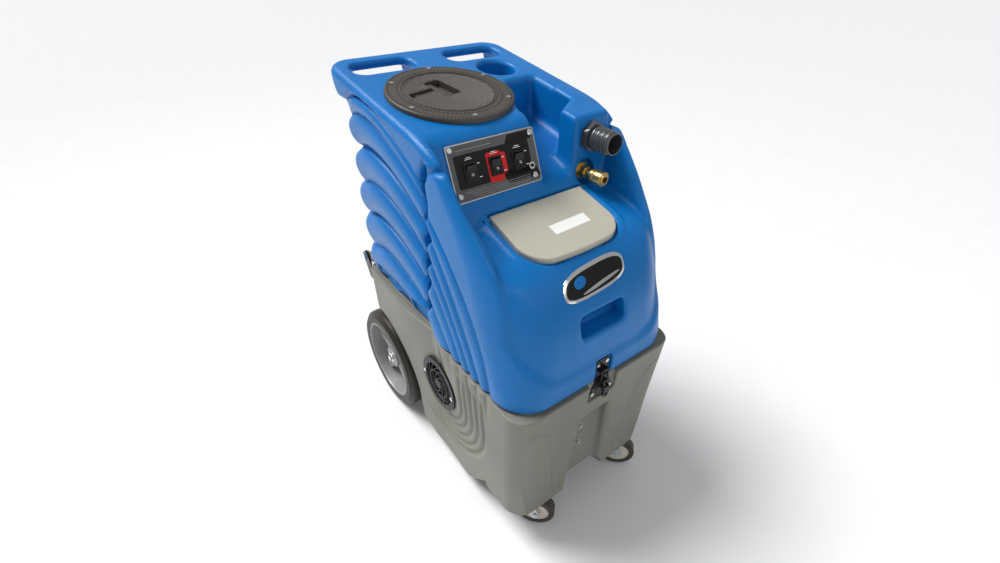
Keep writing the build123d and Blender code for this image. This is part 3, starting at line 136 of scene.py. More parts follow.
def sample(distance, low, step, shape):
    """Distances on a grid, worked out only near the surface: far blocks keep their sign."""
    block = 4
    counts = -(-np.array(shape) // block)
    axes = [low[i] + step * (np.arange(counts[i]) * block + block / 2) for i in range(3)]
    coarse = distance(*np.meshgrid(*axes, indexing="ij"))
    close = np.abs(coarse) < step * block * 2.2 + 6
    for axis in range(3):
        turn = np.diff(coarse < 0, axis=axis)
        before_turn = [(0, 1) if i == axis else (0, 0) for i in range(3)]
        after_turn = [(1, 0) if i == axis else (0, 0) for i in range(3)]
        close |= np.pad(turn, before_turn) | np.pad(turn, after_turn)
    near = np.argwhere(close)
    grid = np.repeat(np.repeat(np.repeat(coarse, block, 0), block, 1), block, 2).astype(np.float32)
    offsets = np.argwhere(np.ones((block,) * 3))
    for part in np.array_split(near, max(1, len(near) // 20000)):
        index = part[:, None, :] * block + offsets[None, :, :]
        place = low + index * step
        values = distance(place[..., 0], place[..., 1], place[..., 2])
        grid[index[..., 0], index[..., 1], index[..., 2]] = values
    return grid[: shape[0], : shape[1], : shape[2]]


def surface_net(grid, low, step):
    """Closed quad mesh of a sampled distance: one vertex in each cell that the surface crosses."""
    nx, ny, nz = (n - 1 for n in grid.shape)
    values = []
    for i in range(8):
        dx, dy, dz = corner(i)
        values.append(grid[dx : nx + dx, dy : ny + dy, dz : nz + dz])
    inside = sum((v < 0).astype(np.int8) for v in values)
    cells = np.argwhere((inside > 0) & (inside < 8))
    at = tuple(cells.T)
    v = np.stack([w[at] for w in values], 1).astype(float)
    total = np.zeros((len(cells), 3))
    hits = np.zeros(len(cells))
    for a, b in EDGES:
        crossed = (v[:, a] < 0) != (v[:, b] < 0)
        gap = v[:, a] - v[:, b]
        t = v[:, a] / np.where(gap == 0, 1, gap)
        point = corner(a) + t[:, None] * (corner(b) - corner(a))
        total += np.where(crossed[:, None], point, 0)
        hits += crossed
    verts = low + (cells + total / hits[:, None]) * step
    number = -np.ones((nx, ny, nz), np.int32)
    number[at] = np.arange(len(cells))
    quads = []
    for axis in range(3):
        near = np.take(grid, range(grid.shape[axis] - 1), axis)
        far = np.take(grid, range(1, grid.shape[axis]), axis)
        u, w = (axis + 1) % 3, (axis + 2) % 3
        for flip in (False, True):
            change = (near < 0) & (far >= 0) if not flip else (near >= 0) & (far < 0)
            spots = np.argwhere(change)
            keep = (spots[:, u] > 0) & (spots[:, w] > 0)
            keep &= (spots[:, u] < grid.shape[u] - 1) & (spots[:, w] < grid.shape[w] - 1)
            spots = spots[keep]
            ring = []
            for du, dw in ((1, 1), (0, 1), (0, 0), (1, 0)):
                cell = spots.copy()
                cell[:, u] -= du
                cell[:, w] -= dw
                ring.append(number[tuple(cell.T)])
            ring = np.stack(ring, 1)
            quads.append(ring[:, ::-1] if flip else ring)
    return verts, np.concatenate(quads)


def slope_of(distance, p):
    """Gradient of a distance at points."""
    h = 0.4
    g = np.empty_like(p)
    for i in range(3):
        d = np.zeros(3)
        d[i] = h
        g[:, i] = distance(*(p + d).T) - distance(*(p - d).T)
    return g / (2 * h)


def shell(name, distance, low, high, step, faces):
    """Mesh object, in metres, of the solid that a distance in millimetres describes."""
    low = np.array(low, float) - 2.5 * step
    shape = np.ceil((np.array(high) + 2.5 * step - low) / step).astype(int) + 1
    verts, quads = surface_net(sample(distance, low, step, shape), low, step)
    for _ in range(3):
        g = slope_of(distance, verts)
        size = np.maximum((g * g).sum(1), 0.2)
        move = -distance(*verts.T)[:, None] * g / size[:, None]
        verts = verts + np.clip(move, -step / 2, step / 2)
    mesh = bpy.data.meshes.new(name)
    mesh.vertices.add(len(verts))
    mesh.vertices.foreach_set("co", (verts * MM).ravel())
    mesh.loops.add(quads.size)
    mesh.loops.foreach_set("vertex_index", quads.ravel())
    mesh.polygons.add(len(quads))
    mesh.polygons.foreach_set("loop_start", np.arange(0, quads.size, 4))
    mesh.polygons.foreach_set("loop_total", np.full(len(quads), 4))
    mesh.update(calc_edges=True)
    mesh.validate()
    piece = bpy.data.objects.new(name, mesh)
    bpy.context.scene.collection.objects.link(piece)
    if len(quads) * 2 > faces:
        thin = piece.modifiers.new("thin", "DECIMATE")
        thin.ratio = faces / (len(quads) * 2)
        apply_modifiers(piece)
        mesh = piece.data
    count = len(mesh.vertices)
    co = np.empty(count * 3)
    mesh.vertices.foreach_get("co", co)
    g = slope_of(distance, co.reshape(-1, 3) / MM)
    g /= np.maximum(np.linalg.norm(g, axis=1), 1e-6)[:, None]
    mesh.polygons.foreach_set("use_smooth", np.ones(len(mesh.polygons), bool))
    mesh.normals_split_custom_set_from_vertices(g)
    return piece


def apply_modifiers(piece):
    graph = bpy.context.evaluated_depsgraph_get()
    old = piece.data
    piece.data = bpy.data.meshes.new_from_object(piece.evaluated_get(graph))
    piece.modifiers.clear()
    bpy.data.meshes.remove(old)


def polygon(x, y, points, r):
    """Distance to a polygon whose points run anticlockwise, with its corners rounded by r."""
    p = np.array(points, float)
    side = np.roll(p, -1, 0) - p
    inward = np.stack([-side[:, 1], side[:, 0]], 1) / np.linalg.norm(side, axis=1)[:, None]
    moved = []
    for i in range(len(p)):
        pair = np.array([inward[i - 1], inward[i]])
        moved.append(np.linalg.solve(pair, pair @ p[i] + r))
    p = np.array(moved)
    side = np.roll(p, -1, 0) - p
    nearest = np.full(np.shape(x), 1e9)
    within = np.zeros(np.shape(x), bool)
    for (px, py), (sx, sy) in zip(p, side):
        u = x - px
        v = y - py
        t = np.clip((u * sx + v * sy) / (sx * sx + sy * sy), 0, 1)
        nearest = np.minimum(nearest, np.hypot(u - t * sx, v - t * sy))
        if sy:
            crosses = (v < 0) != (v < sy)
            within ^= crosses & (u < v * sx / sy)
    return np.where(within, -nearest, nearest) - r


def path_gap(y, z, points):
    """Distance in the side view from an open line through points."""
    nearest = np.full(np.shape(y), 1e9)
    for (ay, az), (by, bz) in zip(points, points[1:]):
        sy, sz = by - ay, bz - az
        t = np.clip(((y - ay) * sy + (z - az) * sz) / (sy * sy + sz * sz), 0, 1)
        nearest = np.minimum(nearest, np.hypot(y - ay - t * sy, z - az - t * sz))
    return nearest


# ---- planes and sizes that the forms share, in millimetres and radians ----

TANK_FLOOR = 381.4
DECK_TILT = math.radians(9.42)
DECK_Z = 772.2
PANEL_TILT = math.radians(21.8)
PANEL_TOP = (-77.7, 745.4)
LID_TILT = math.radians(16)
LID_REAR = (-122.7, 638.3)
# places as (x, y) in the view from above
SLOT_PLACE = (97, 204.5)
CUP_PLACE = (98.7, 124)
ACCESS_PLACE = (-54.7, 46.8)
BLOCK_PLACE = (127, -52.8)
STANDPIPE_PLACE = (-55, 150)
# places as (x, z) in the view from the front, the drain's in the view from behind
COUPLER_PLACE = (120, 655)
BARB_PLACE = (126, 718)
GRIP_PLACE = (-1, 498)
GRIP_HALF = (49, 19)
BADGE_PLACE = (-2, 563)
DRAIN_PLACE = (75, 425)
# places as (y, z) in the view from the side
LID_PIN_PLACE = (-126.5, 631.5)
VENT_PLACE = (-53, 253)
WHEEL_PLACE = (201.5, 127)


def deck_frame(y, z):
    """Distance up the slope of the deck, and height above it."""
    c, s = math.cos(DECK_TILT), math.sin(DECK_TILT)
    return y * c + (z - DECK_Z) * s, (z - DECK_Z) * c - y * s


def lid_frame(y, z):
    """Distance up the lid's slope from its rear edge, and height above its top."""
    c, s = math.cos(LID_TILT), math.sin(LID_TILT)
    v, w = y - LID_REAR[0], z - LID_REAR[1]
    return v * c + w * s, w * c - v * s


def panel_front(y, z):
    """Distance in front of the switch panel's plane."""
    c, s = math.cos(PANEL_TILT), math.sin(PANEL_TILT)
    return (z - PANEL_TOP[1]) * s - (y - PANEL_TOP[0]) * c


# ---- side of the tank ----

LOBE_TOPS = (900, 775, 747, 684, 615, 543, 466, 390, 310)
TOP_LOBE = 775
LOBE_DEPTH = 12.5
TOP_LOBE_DEPTH = 8
SLAT_DEPTH = 5.5
# each front slat's rear edge: y at the tank's foot, lean and bend
SLATS = (
    (-230, 0.08, 0.0019),
    (-204, 0.40, 0.0007),
    (-176, 0.40, 0.0010),
    (-148, 0.42, 0.0012),
    (-114, 0.62, 0.0010),
)
GAP_FRONT = [
    (381, -48),
    (397, -45),
    (425, -37),
    (458, -55),
    (479, -48),
    (509, -64),
    (529, -55),
    (560, -72),
    (583, -66),
    (607, -81),
    (632, -72),
    (662, -82),
    (708, -80),
    (730, -92),
]
GAP_REAR = [
    (381, -26),
    (400, -29),
    (420, -21),
    (461, -43),
    (485, -36),
    (520, -54),
    (542, -49),
    (570, -63),
    (590, -58),
    (612, -69),
    (629, -64),
    (652, -78),
    (662, -77),
    (708, -74),
    (730, -86),
]
GROOVE = [(-79, 650), (-77, 680), (-80, 704), (-94, 720), (-108, 727), (-130, 733)]


def lobe_dip(y, z):
    """Depth of the valleys between the rear lobes, 0 on a lobe's crown."""
    w = z + np.maximum(145 - y, 0) ** 2 / 520 + 16 * ramp(y, 145, 215)
    round_corner = ramp(y, 150, 200)
    dip = np.zeros(np.shape(w))
    for top, low in zip(LOBE_TOPS, LOBE_TOPS[1:]):
        t = (top - w) / (top - low)
        here = (t >= 0) & (t < 1)
        t = np.clip(t, 1e-6, 1)
        crown = np.sin(np.pi * t**0.716) ** 0.75
        depth = LOBE_DEPTH
        if top > TOP_LOBE:
            depth = LOBE_DEPTH - (LOBE_DEPTH - TOP_LOBE_DEPTH) * round_corner
            crown = np.clip((w - TOP_LOBE) / 9, 0, 1) ** 0.6
        elif top == TOP_LOBE:
            depth = TOP_LOBE_DEPTH
            crown = crown * (1 - round_corner)
        dip = np.where(here, depth * (1 - crown), dip)
    return dip


def slat_dip(y, z):
    """Depth of the steps between the front slats."""
    s = np.maximum(z - 382, -20)
    edges = [start + rise * s + bend * s * s for start, rise, bend in SLATS]
    u = y - edges[0]
    dip = SLAT_DEPTH * np.exp(-((np.minimum(u, 0) / 10) ** 2))
    for i, edge in enumerate(edges):
        rear = edges[i + 1] if i + 1 < len(edges) else edge + 62
        u = y - edge
        t = np.clip(u / (rear - edge), 0, 1)
        fall = 1 - np.sin(np.pi * t**0.82) ** 0.8
        dip = np.where(u >= 0, SLAT_DEPTH * fall, dip)
    return dip * ramp(z, 900, 640)


def tank_half(y, z):
    """Half width of the tank at each place of its side view."""
    front = curve([(381, 184), (600, 186.5), (760, 187)], z) - slat_dip(y, z)
    rear = curve([(381, 173), (740, 185.8), (770, 187), (830, 187)], z) - lobe_dip(y, z)
    a = curve(GAP_FRONT, z)
    b = curve(GAP_REAR, z) + 5
    middle = (a + b) / 2
    half = np.where(y < middle, front, rear)
    # the deep gap between the slats and the lobes, shallower near the rim, with a groove on above it
    below = ramp(z, 742, 700)
    reach = np.where(y < middle, y - a, b - y)
    dip = (26 * ramp(reach, -5, 3) + 3 * ramp(reach, -14, 0)) * below
    dip = np.minimum(dip, 17 + 12 * ramp(z, 392, 430))
    groove = path_gap(y, z, GROOVE)
    dip = np.maximum(dip, 6 * np.exp(-((groove / 5) ** 2)))
    return half - dip


CREST = [
    (381, -316),
    (427, -316),
    (470, -313),
    (510, -304),
    (559, -280),
    (602, -248),
    (636, -217),
    (670, -187),
    (701, -158),
    (726, -134),
    (741, -112),
    (752, -96),
    (764, -76),
    (800, 20),
]
CREST_ROUND = [
    (381, 64),
    (399, 66),
    (436, 80),
    (475, 90),
    (531, 80),
    (582, 60),
    (622, 42),
    (661, 30),
    (700, 23),
    (760, 20),
]
REAR_WALL = [
    (381, 254),
    (560, 242),
    (738, 230),
    (751, 234),
    (764, 246),
    (778, 256),
    (790, 260),
    (802, 262),
    (830, 263),
]


def before(points, y, z):
    """Distance in front of a profile that gives y at each z."""
    rise = (curve(points, z + 2) - curve(points, z - 2)) / 4
    return (curve(points, z) - y) / np.hypot(1, rise)


def tank_hull(x, y, z):
    """Distance to the tank without its openings, and to its front and sides alone."""
    side = np.abs(x) - tank_half(y, z)
    rear = y - curve(REAR_WALL, z) + lobe_dip(215, z)
    crease = 5 * np.exp(-((path_gap(y, z, GROOVE) / 5) ** 2)) * ramp(np.abs(x), 138, 152)
    front = before(CREST, y, z) + crease
    deck = deck_frame(y, z)[1]
    around = curve(CREST_ROUND, z)
    body = round_max(round_max(side, rear, 42), front, around)
    body = round_max(body, deck, 13)
    return round_max(body, TANK_FLOOR - z, 4), round_max(side, front, around)


RIDGE_IN = [(381, 164), (500, 164), (560, 160), (610, 155), (642, 157), (675, 165), (760, 168)]
RIDGE_ROUND = [(381, 16), (590, 16), (640, 20), (700, 14), (830, 12)]
TROUGH = [
    (76, 62),
    (38, -12),
    (25, -42),
    (22, -80),
    (22, -150),
    (84, -150),
    (88, -72),
    (138, -44),
    (140, 66),
]
TROUGH_FLOOR = [(-160, 640), (-130, 652), (-40, 684), (75, 712), (90, 716)]


def lid_edge(x, v, grow):
    """Distance outside the fill lid's outline, grown by some millimetres."""
    r = np.where(v < -60, 46 + grow, 3.0)
    bow = 2 * np.clip(1 - (x / 60) ** 2, 0, 1) * (v < -60)
    return rect(x, v + 62.3, 100 + grow, 62.3 + grow + bow, r)


def tank(x, y, z):
    """Distance to the tank's moulding."""
    hull, face = tank_hull(x, y, z)
    slope = math.cos(DECK_TILT)
    up, deck = deck_frame(y, z)
    v, above_lid = lid_frame(y, z)
    # lower front: the shelf round the fill lid, then the face that carries the switch panel
    around = lid_edge(x, v, 2.0)
    lip = 3.2 * np.exp(-(((around - 9) / 6) ** 2))
    corner_dip = 9 * np.exp(-((np.hypot(np.abs(x) - 134, (v + 4) * 0.8) / 17) ** 2))
    shelf = above_lid + 5.2 - lip + corner_dip
    panel = panel_front(y, z)
    recess = 1.5 + 5.5 * ramp(np.abs(x), 50, 150)
    floor = round_max(face + recess, round_min(shelf, panel, 15), 18)
    middle = rect(x, z - 910, curve(RIDGE_IN, z), 484, 92)
    body = cut(hull, round_max(middle, -floor, 9), curve(RIDGE_ROUND, z))
    # block that carries the hose barb
    block = round_max(rect(x - BLOCK_PLACE[0], y - BLOCK_PLACE[1], 43, 58.8, 9), deck, 9)
    body = round_min(body, flat_max(block, 640 - z), 6)
    # hand slots through the rear shelf, with finger space under it
    for side in (-1, 1):
        slot = rect(x - side * SLOT_PLACE[0], up - SLOT_PLACE[1] / slope, 59.5, 26.5, 20)
        body = cut(body, round_max(slot, -90 - deck, 4), 8)
    under = round_max(np.abs(np.abs(x) - SLOT_PLACE[0]) - 61, 176 - y, 6)
    under = round_max(under, round_max(690 - z, deck + 16, 5), 6)
    body = cut(body, under, 6)
    # cup holder and tool trough
    cup = round_max(disc(x - CUP_PLACE[0], up - CUP_PLACE[1] / slope, 35.8), -62 - deck, 8)
    body = cut(body, cup, 8)
    trough = polygon(x, y, TROUGH, 10)
    trough = round_max(trough, curve(TROUGH_FLOOR, y) - z, 16)
    body = cut(body, trough, 11)
    # pocket behind the switch panel, front grip and the latch's seat
    pocket = rect(x + 63.5, panel_along(y, z) + 43.75, 71, 31, 4)
    body = flat_max(body, -flat_max(pocket, -58 - panel))
    grip = round_max(rect(x - GRIP_PLACE[0], z - GRIP_PLACE[1], *GRIP_HALF, 9), y + 270, 6)
    body = cut(body, grip, 7)
    keeper = flat_max(rect(x, z - 400, 19, 23, 3), y + 309)
    body = cut(body, keeper, 3)
    # seat of the fill lid, and the mouth of the clean tank in it
    body = cut(body, flat_max(around, -11.3 - above_lid), 1.6)
    mouth = flat_max(rect(x, v + 66, 80, 46, 30), -60 - above_lid)
    tankful = round_max(rect(x, y + 196, 160, 90, 40), 392 - z, 30)
    beside_grip = np.abs(x - GRIP_PLACE[0]) - GRIP_HALF[0]
    above_grip = np.abs(z - GRIP_PLACE[1]) - GRIP_HALF[1]
    round_grip = 8 - flat_max(beside_grip, above_grip)
    tankful = flat_max(tankful, above_lid + 20, hull + 18, round_grip)
    body = cut(body, np.minimum(mouth, tankful), 1.5)
    # niche and hole of the solution coupler, holes of the hose barb, standpipe and drain valve
    niche = flat_max(disc(x - COUPLER_PLACE[0], z - COUPLER_PLACE[1], 22), y + 100)
    body = cut(body, niche, 4)
    coupler = flat_max(disc(x - COUPLER_PLACE[0], z - COUPLER_PLACE[1], 7), y + 84)
    body = flat_max(body, -coupler)
    barb = flat_max(disc(x - BARB_PLACE[0], z - BARB_PLACE[1], 17), y + 79)
    body = flat_max(body, -barb)
    standpipe = flat_max(disc(x - STANDPIPE_PLACE[0], y - STANDPIPE_PLACE[1], 19), z - 440)
    body = flat_max(body, -standpipe)
    drain = flat_max(disc(x - DRAIN_PLACE[0], z - DRAIN_PLACE[1], 18), 230 - y)
    body = flat_max(body, -drain)
    # mouth of the recovery tank under the access plate
    access = disc(x - ACCESS_PLACE[0], up - ACCESS_PLACE[1] / slope, 86)
    body = flat_max(body, -flat_max(access, -32 - deck))
    # feet between the notches over the rim
    for middle_y, half_y in ((164, 31), (80, 30), (9, 29)):
        notch = flat_max(np.abs(y - middle_y) - half_y, z - 413, 165 - np.abs(x))
        body = cut(body, notch, 2.5)
    # lugs of the lid's pin
    from_pin = np.hypot(y - LID_PIN_PLACE[0], z - LID_PIN_PLACE[1])
    lug = flat_max(from_pin - 5.5, np.abs(np.abs(x) - 106.5) - 6)
    body = np.minimum(body, lug)
    hole = flat_max(from_pin - 2.1, np.abs(np.abs(x) - 105) - 6)
    return flat_max(body, -hole)


def panel_along(y, z):
    """Distance up the switch panel from its top edge."""
    c, s = math.cos(PANEL_TILT), math.sin(PANEL_TILT)
    return (z - PANEL_TOP[1]) * c + (y - PANEL_TOP[0]) * s


# ---- base ----

RIM = 378
ARCH_RADIUS = 139
BASE_SIDE = [
    (-327, 420),
    (-305, 96),
    (-298, 94),
    (-208, 94),
    (-166, 50),
    (-137, 24),
    (10, 24),
    (62, 38),
    (98, 60),
    (122, 150),
    (262, 150),
    (262, 420),
]
RIM_EDGE = [(-300, 187), (-110, 187), (-95, 186), (-62, 177), (-35, 173), (-20, 176), (262, 176)]
FRONT_STEP = [(160, 340), (138, 336), (118, 318), (106, 280), (97, 225), (85, 150), (78, 100)]
SWIRLS = (80, 98, 117, 136, 155)
SWIRL_PLACE = (-58, 258)


def base_half(y, z):
    """Half width of the base at each place of its side view."""
    top = curve(RIM_EDGE, y)
    low = 167 + 3 * ramp(y, -60, -160)
    half = low + (top - low) * np.clip((z - 24) / 354, 0, 1) ** 0.9
    # the tank's slats run on a little way down from the rim
    wave = slat_dip(y, np.full(np.shape(y), 384.0)) * ramp(z, 300, 376) * 0.75 * ramp(y, -50, -70)
    # grooves that sweep round the front and the lower side of the vent
    u = y - SWIRL_PLACE[0]
    v = z - SWIRL_PLACE[1]
    r = np.where(v > 0, np.abs(u), np.hypot(u, v))
    angle = np.arctan2(np.minimum(v, -0.01), -u)
    fade = np.where(v > 0, (u < 0) * ramp(z, 366, 330), ramp(angle, -2.3, -1.5))
    dip = np.zeros(np.shape(y))
    for radius in SWIRLS:
        t = r - radius
        dip = dip + 4.4 * np.exp(-((t / 4.6) ** 2))
    swell = 3.0 * ramp(r, 168, 158)
    return half - (dip + swell) * fade - wave


def base_body(x, y, z):
    """Distance to the base as a solid, without its openings."""
    side = np.abs(x) - base_half(y, z)
    ends = polygon(y, z, BASE_SIDE, 9)
    slant = (z - 24) * 0.058 - 18
    front = -(y + 307.5) - np.clip(slant + 18, 0, 21)
    body = round_max(side, front, 46)
    body = round_max(body, y - 262, 40)
    # skirt round the caster plates
    skirt = flat_max(np.abs(y + 250) - 56, 83 - z)
    plate = rect(np.abs(x) - 120, y + 262, 40, 34, 4)
    low = round_max(body, 83 - z, 9)
    body = round_max(body, ends, 12)
    return np.minimum(body, flat_max(low, skirt, -plate, np.abs(y + 260) - 50, 50 - np.abs(x)))


def arch(x, y, z):
    """Distance to the spaces that the two rear wheels stand in."""
    wheel = disc(y - WHEEL_PLACE[0], z - WHEEL_PLACE[1], ARCH_RADIUS)
    below = flat_max(z - WHEEL_PLACE[1], WHEEL_PLACE[0] - ARCH_RADIUS - y)
    return round_max(np.minimum(wheel, below), 135 - np.abs(x), 10)


def base(x, y, z):
    """Distance to the base's moulding."""
    outside = base_body(x, y, z)
    flat = np.hypot(y - VENT_PLACE[0], z - VENT_PLACE[1])
    seat_of_vent = np.abs(x) - 176 - np.maximum(flat - 62, 0) * 0.6
    outside = round_max(outside, np.where(flat < 80, seat_of_vent, -99), 2)
    spaces = arch(x, y, z)
    channel = round_max(np.abs(x) - 44 + 0.05 * (z - 90), z - 295, 8)
    channel = round_max(channel, y + 290, 10)
    solid = cut(cut(outside, spaces, 9), channel, 14)
    seat = flat_max(rect(x, z - 361, 33, 23, 4), y + 313.5)
    solid = cut(solid, seat, 4)
    # soft step on each side of the front, above the casters
    step = path_gap(np.abs(x), z, FRONT_STEP)
    solid = solid + 2.8 * np.exp(-((step / 4.5) ** 2)) * ramp(y, -255, -285) * ramp(z, 90, 125)
    inner = round_max(solid + 7, z - 370, 3)
    hollow = flat_max(inner, -(seat - 7))
    mouth = rect(x, y + 29.5, 159, 268.5, 30)
    mouth = flat_max(mouth, 360 - z)
    body = flat_max(solid, -hollow, -mouth)
    body = round_max(body, z - RIM, 3)
    hole = flat_max(disc(y - VENT_PLACE[0], z - VENT_PLACE[1], 48), 150 - np.abs(x))
    body = flat_max(body, -hole)
    inlet = flat_max(np.abs(x + 90) - 14, np.abs(z - 320) - 12, 240 - y)
    return flat_max(body, -inlet)


# ---- the two shells ----

STEP = 3
MOST_FACES = 190000
tank_piece = shell("tank_moulding", tank, (-190, -317, 381), (190, 264, 817), STEP, MOST_FACES)
base_piece = shell("base_moulding", base, (-190, -328, 20), (190, 264, 380), STEP, MOST_FACES)
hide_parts("tank_shell")
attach(tank_piece, "tank")
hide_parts("base_shell")
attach(base_piece, "base")


# ---- materials ----


def shade(
    name,
    colour,
    rough,
    metal=0.0,
    coat=0.0,
    shine=0.5,
    grain=900,
    bump=0.08,
    mottle=0.12,
    spread=0.08,
):
    """Procedural finish: colour mottled by noise, fine grain in the normal, roughness that varies."""
    m = bpy.data.materials.new(name)
    m.use_nodes = True
    nodes = m.node_tree.nodes
    links = m.node_tree.links
    shader = nodes["Principled BSDF"]
    shader.inputs["Metallic"].default_value = metal
    shader.inputs["Coat Weight"].default_value = coat
    shader.inputs["Specular IOR Level"].default_value = shine
    place = nodes.new("ShaderNodeTexCoord")
    blotch = nodes.new("ShaderNodeTexNoise")
    blotch.inputs["Scale"].default_value = 9.0
    blotch.inputs["Detail"].default_value = 6.0
    links.new(place.outputs["Object"], blotch.inputs["Vector"])
    tint = nodes.new("ShaderNodeValToRGB")
    dark = [c * (1 - mottle) for c in colour]
    light = [min(1, c * (1 + mottle) + 0.004) for c in colour]
    tint.color_ramp.elements[0].position = 0.3
    tint.color_ramp.elements[1].position = 0.7
    tint.color_ramp.elements[0].color = (*dark, 1)
    tint.color_ramp.elements[1].color = (*light, 1)
    links.new(blotch.outputs["Fac"], tint.inputs["Fac"])
    links.new(tint.outputs["Color"], shader.inputs["Base Color"])
    peel = nodes.new("ShaderNodeTexNoise")
    peel.inputs["Scale"].default_value = grain
    peel.inputs["Detail"].default_value = 3.0
    links.new(place.outputs["Object"], peel.inputs["Vector"])
    gloss = nodes.new("ShaderNodeMapRange")
    gloss.inputs["To Min"].default_value = max(rough - spread, 0.02)
    gloss.inputs["To Max"].default_value = min(rough + spread, 1)
    links.new(peel.outputs["Fac"], gloss.inputs["Value"])
    links.new(gloss.outputs["Result"], shader.inputs["Roughness"])
    push = nodes.new("ShaderNodeBump")
    push.inputs["Strength"].default_value = bump
    push.inputs["Distance"].default_value = 0.001
    links.new(peel.outputs["Fac"], push.inputs["Height"])
    links.new(push.outputs["Normal"], shader.inputs["Normal"])
    return m


FINISHES = {
    "blue_shell": shade("blue_lldpe", (0.0, 0.15, 0.46), 0.34, shine=0.26, grain=520, bump=0.4, mottle=0.06),
    "grey_shell": shade("grey_lldpe", (0.2, 0.195, 0.165), 0.45, shine=0.3, grain=560, bump=0.3, mottle=0.07),
    "lid_grey": shade("lid_plastic", (0.46, 0.44, 0.36), 0.5, shine=0.35, grain=900, bump=0.2, mottle=0.05),
    "black_plastic": shade("black_moulded", (0.006, 0.006, 0.006), 0.4, shine=0.25, bump=0.12),
    "plate_grey": shade("plate_plastic", (0.062, 0.054, 0.044), 0.42, shine=0.35, grain=1100, bump=0.12),
    "pvc_grey": shade("barb_pvc", (0.045, 0.048, 0.052), 0.22, grain=300, bump=0.04, coat=0.3),
    "panel_black": shade("panel_overlay", (0.02, 0.02, 0.02), 0.35, shine=0.3, grain=1200, bump=0.05),
    "switch_black": shade("switch_plastic", (0.008, 0.008, 0.008), 0.3, shine=0.3, bump=0.05),
    "hub_grey": shade("hub_paint", (0.3, 0.3, 0.3), 0.42, metal=0.15, grain=700, bump=0.15),
    "tyre": shade("tyre_rubber", (0.02, 0.0165, 0.012), 0.45, shine=0.3, grain=400, bump=0.2, mottle=0.25),
    "caster_tyre": shade(
        "caster_rubber", (0.05, 0.043, 0.033), 0.45, shine=0.3, grain=500, bump=0.15, mottle=0.2
    ),
    "caster_hub": shade("caster_core", (0.62, 0.58, 0.5), 0.4, grain=600, bump=0.1),
    "zinc": shade("zinc_plate", (0.62, 0.64, 0.65), 0.32, metal=1.0, grain=500, bump=0.08, spread=0.14),
    "chrome": shade("chrome_plate", (0.8, 0.8, 0.78), 0.16, metal=1.0, grain=400, bump=0.03),
    "black_metal": shade("black_steel", (0.01, 0.01, 0.011), 0.3, metal=0.3, grain=600, bump=0.1),
    "brass": shade("brass_turned", (0.86, 0.6, 0.24), 0.34, metal=1.0, grain=600, bump=0.06, spread=0.12),
    "seal_rubber": shade("seal_foam", (0.2, 0.195, 0.165), 0.85, grain=500, bump=0.4),
    "motor_metal": shade("motor_casing", (0.3, 0.3, 0.31), 0.4, metal=0.8, grain=500, bump=0.1),
    "inner_plastic": shade("inner_white", (0.6, 0.6, 0.57), 0.5, grain=600, bump=0.1),
    "float_red": shade("float_plastic", (0.5, 0.02, 0.015), 0.4, grain=600, bump=0.1),
}
for part in frame["record"]["subparts"]:
    node = frame["nodes"][part["node"]]
    node.data.materials.clear()
    node.data.materials.append(FINISHES[part["material_slot"]])
frame["nodes"]["pivot_brackets"].data.materials[0] = FINISHES["black_metal"]
frame["nodes"]["rim_seal"].data.materials[0] = FINISHES["seal_rubber"]
tank_piece.data.materials.append(FINISHES["blue_shell"])
base_piece.data.materials.append(FINISHES["grey_shell"])


# ---- small pieces ----


def new_piece(name, build, body, finish, smooth=True):
    """Finish a bmesh given in millimetres: an object in metres that rides on a body."""
    bmesh.ops.recalc_face_normals(build, faces=build.faces)
    bmesh.ops.scale(build, vec=(MM, MM, MM), verts=build.verts)
    mesh = bpy.data.meshes.new(name)
    build.to_mesh(mesh)
    build.free()
    mesh.polygons.foreach_set("use_smooth", [smooth] * len(mesh.polygons))
    mesh.materials.append(finish)
    piece = bpy.data.objects.new(name, mesh)
    bpy.context.scene.collection.objects.link(piece)
    if smooth:
        mesh.set_sharp_from_angle(angle=math.radians(35))
    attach(piece, body)
    return piece


def round_rect(x, y, wide, tall, r, lean=0.0, turns=5):
    """Outline of a rectangle with round corners, its top shifted sideways by lean."""
    points = []
    for cx, cy, start in ((1, 1, 0), (-1, 1, 90), (-1, -1, 180), (1, -1, 270)):
        for i in range(turns + 1):
            a = math.radians(start + 90 * i / turns)
            px = cx * (wide / 2 - r) + r * math.cos(a)
            py = cy * (tall / 2 - r) + r * math.sin(a)
            points.append((x + px + lean * py / tall, y + py))
    return points


def slab(build, outline, place, low, high, edge=0.0):
    """Closed flat piece between two heights, its upper edge sloped in by edge."""
    cx = sum(p[0] for p in outline) / len(outline)
    cy = sum(p[1] for p in outline) / len(outline)
    rings = []
    levels = [(low, 0), (high - edge, 0), (high, edge)] if edge else [(low, 0), (high, 0)]
    for lift, inset in levels:
        ring = []
        for px, py in outline:
            d = math.hypot(px - cx, py - cy) or 1
            k = 1 - inset / d
            ring.append(build.verts.new(place(cx + (px - cx) * k, cy + (py - cy) * k, lift)))
        rings.append(ring)
    for lower, upper in zip(rings, rings[1:]):
        for i in range(len(lower)):
            j = (i + 1) % len(lower)
            build.faces.new((lower[i], lower[j], upper[j], upper[i]))
    build.faces.new(rings[0][::-1])
    build.faces.new(rings[-1])


def on_panel(x, down, lift):
    """Point at a distance below the switch panel's top edge and a height above its seat."""
    c, s = math.cos(PANEL_TILT), math.sin(PANEL_TILT)
    y = PANEL_TOP[0] - down * s - lift * c
    return x, y, PANEL_TOP[1] - down * c + lift * s


def on_lid(x, v, lift):
    """Point at a distance up the fill lid's slope and a height above its top."""
    c, s = math.cos(LID_TILT), math.sin(LID_TILT)
    return x, LID_REAR[0] + v * c - lift * s, LID_REAR[1] + v * s + lift * c


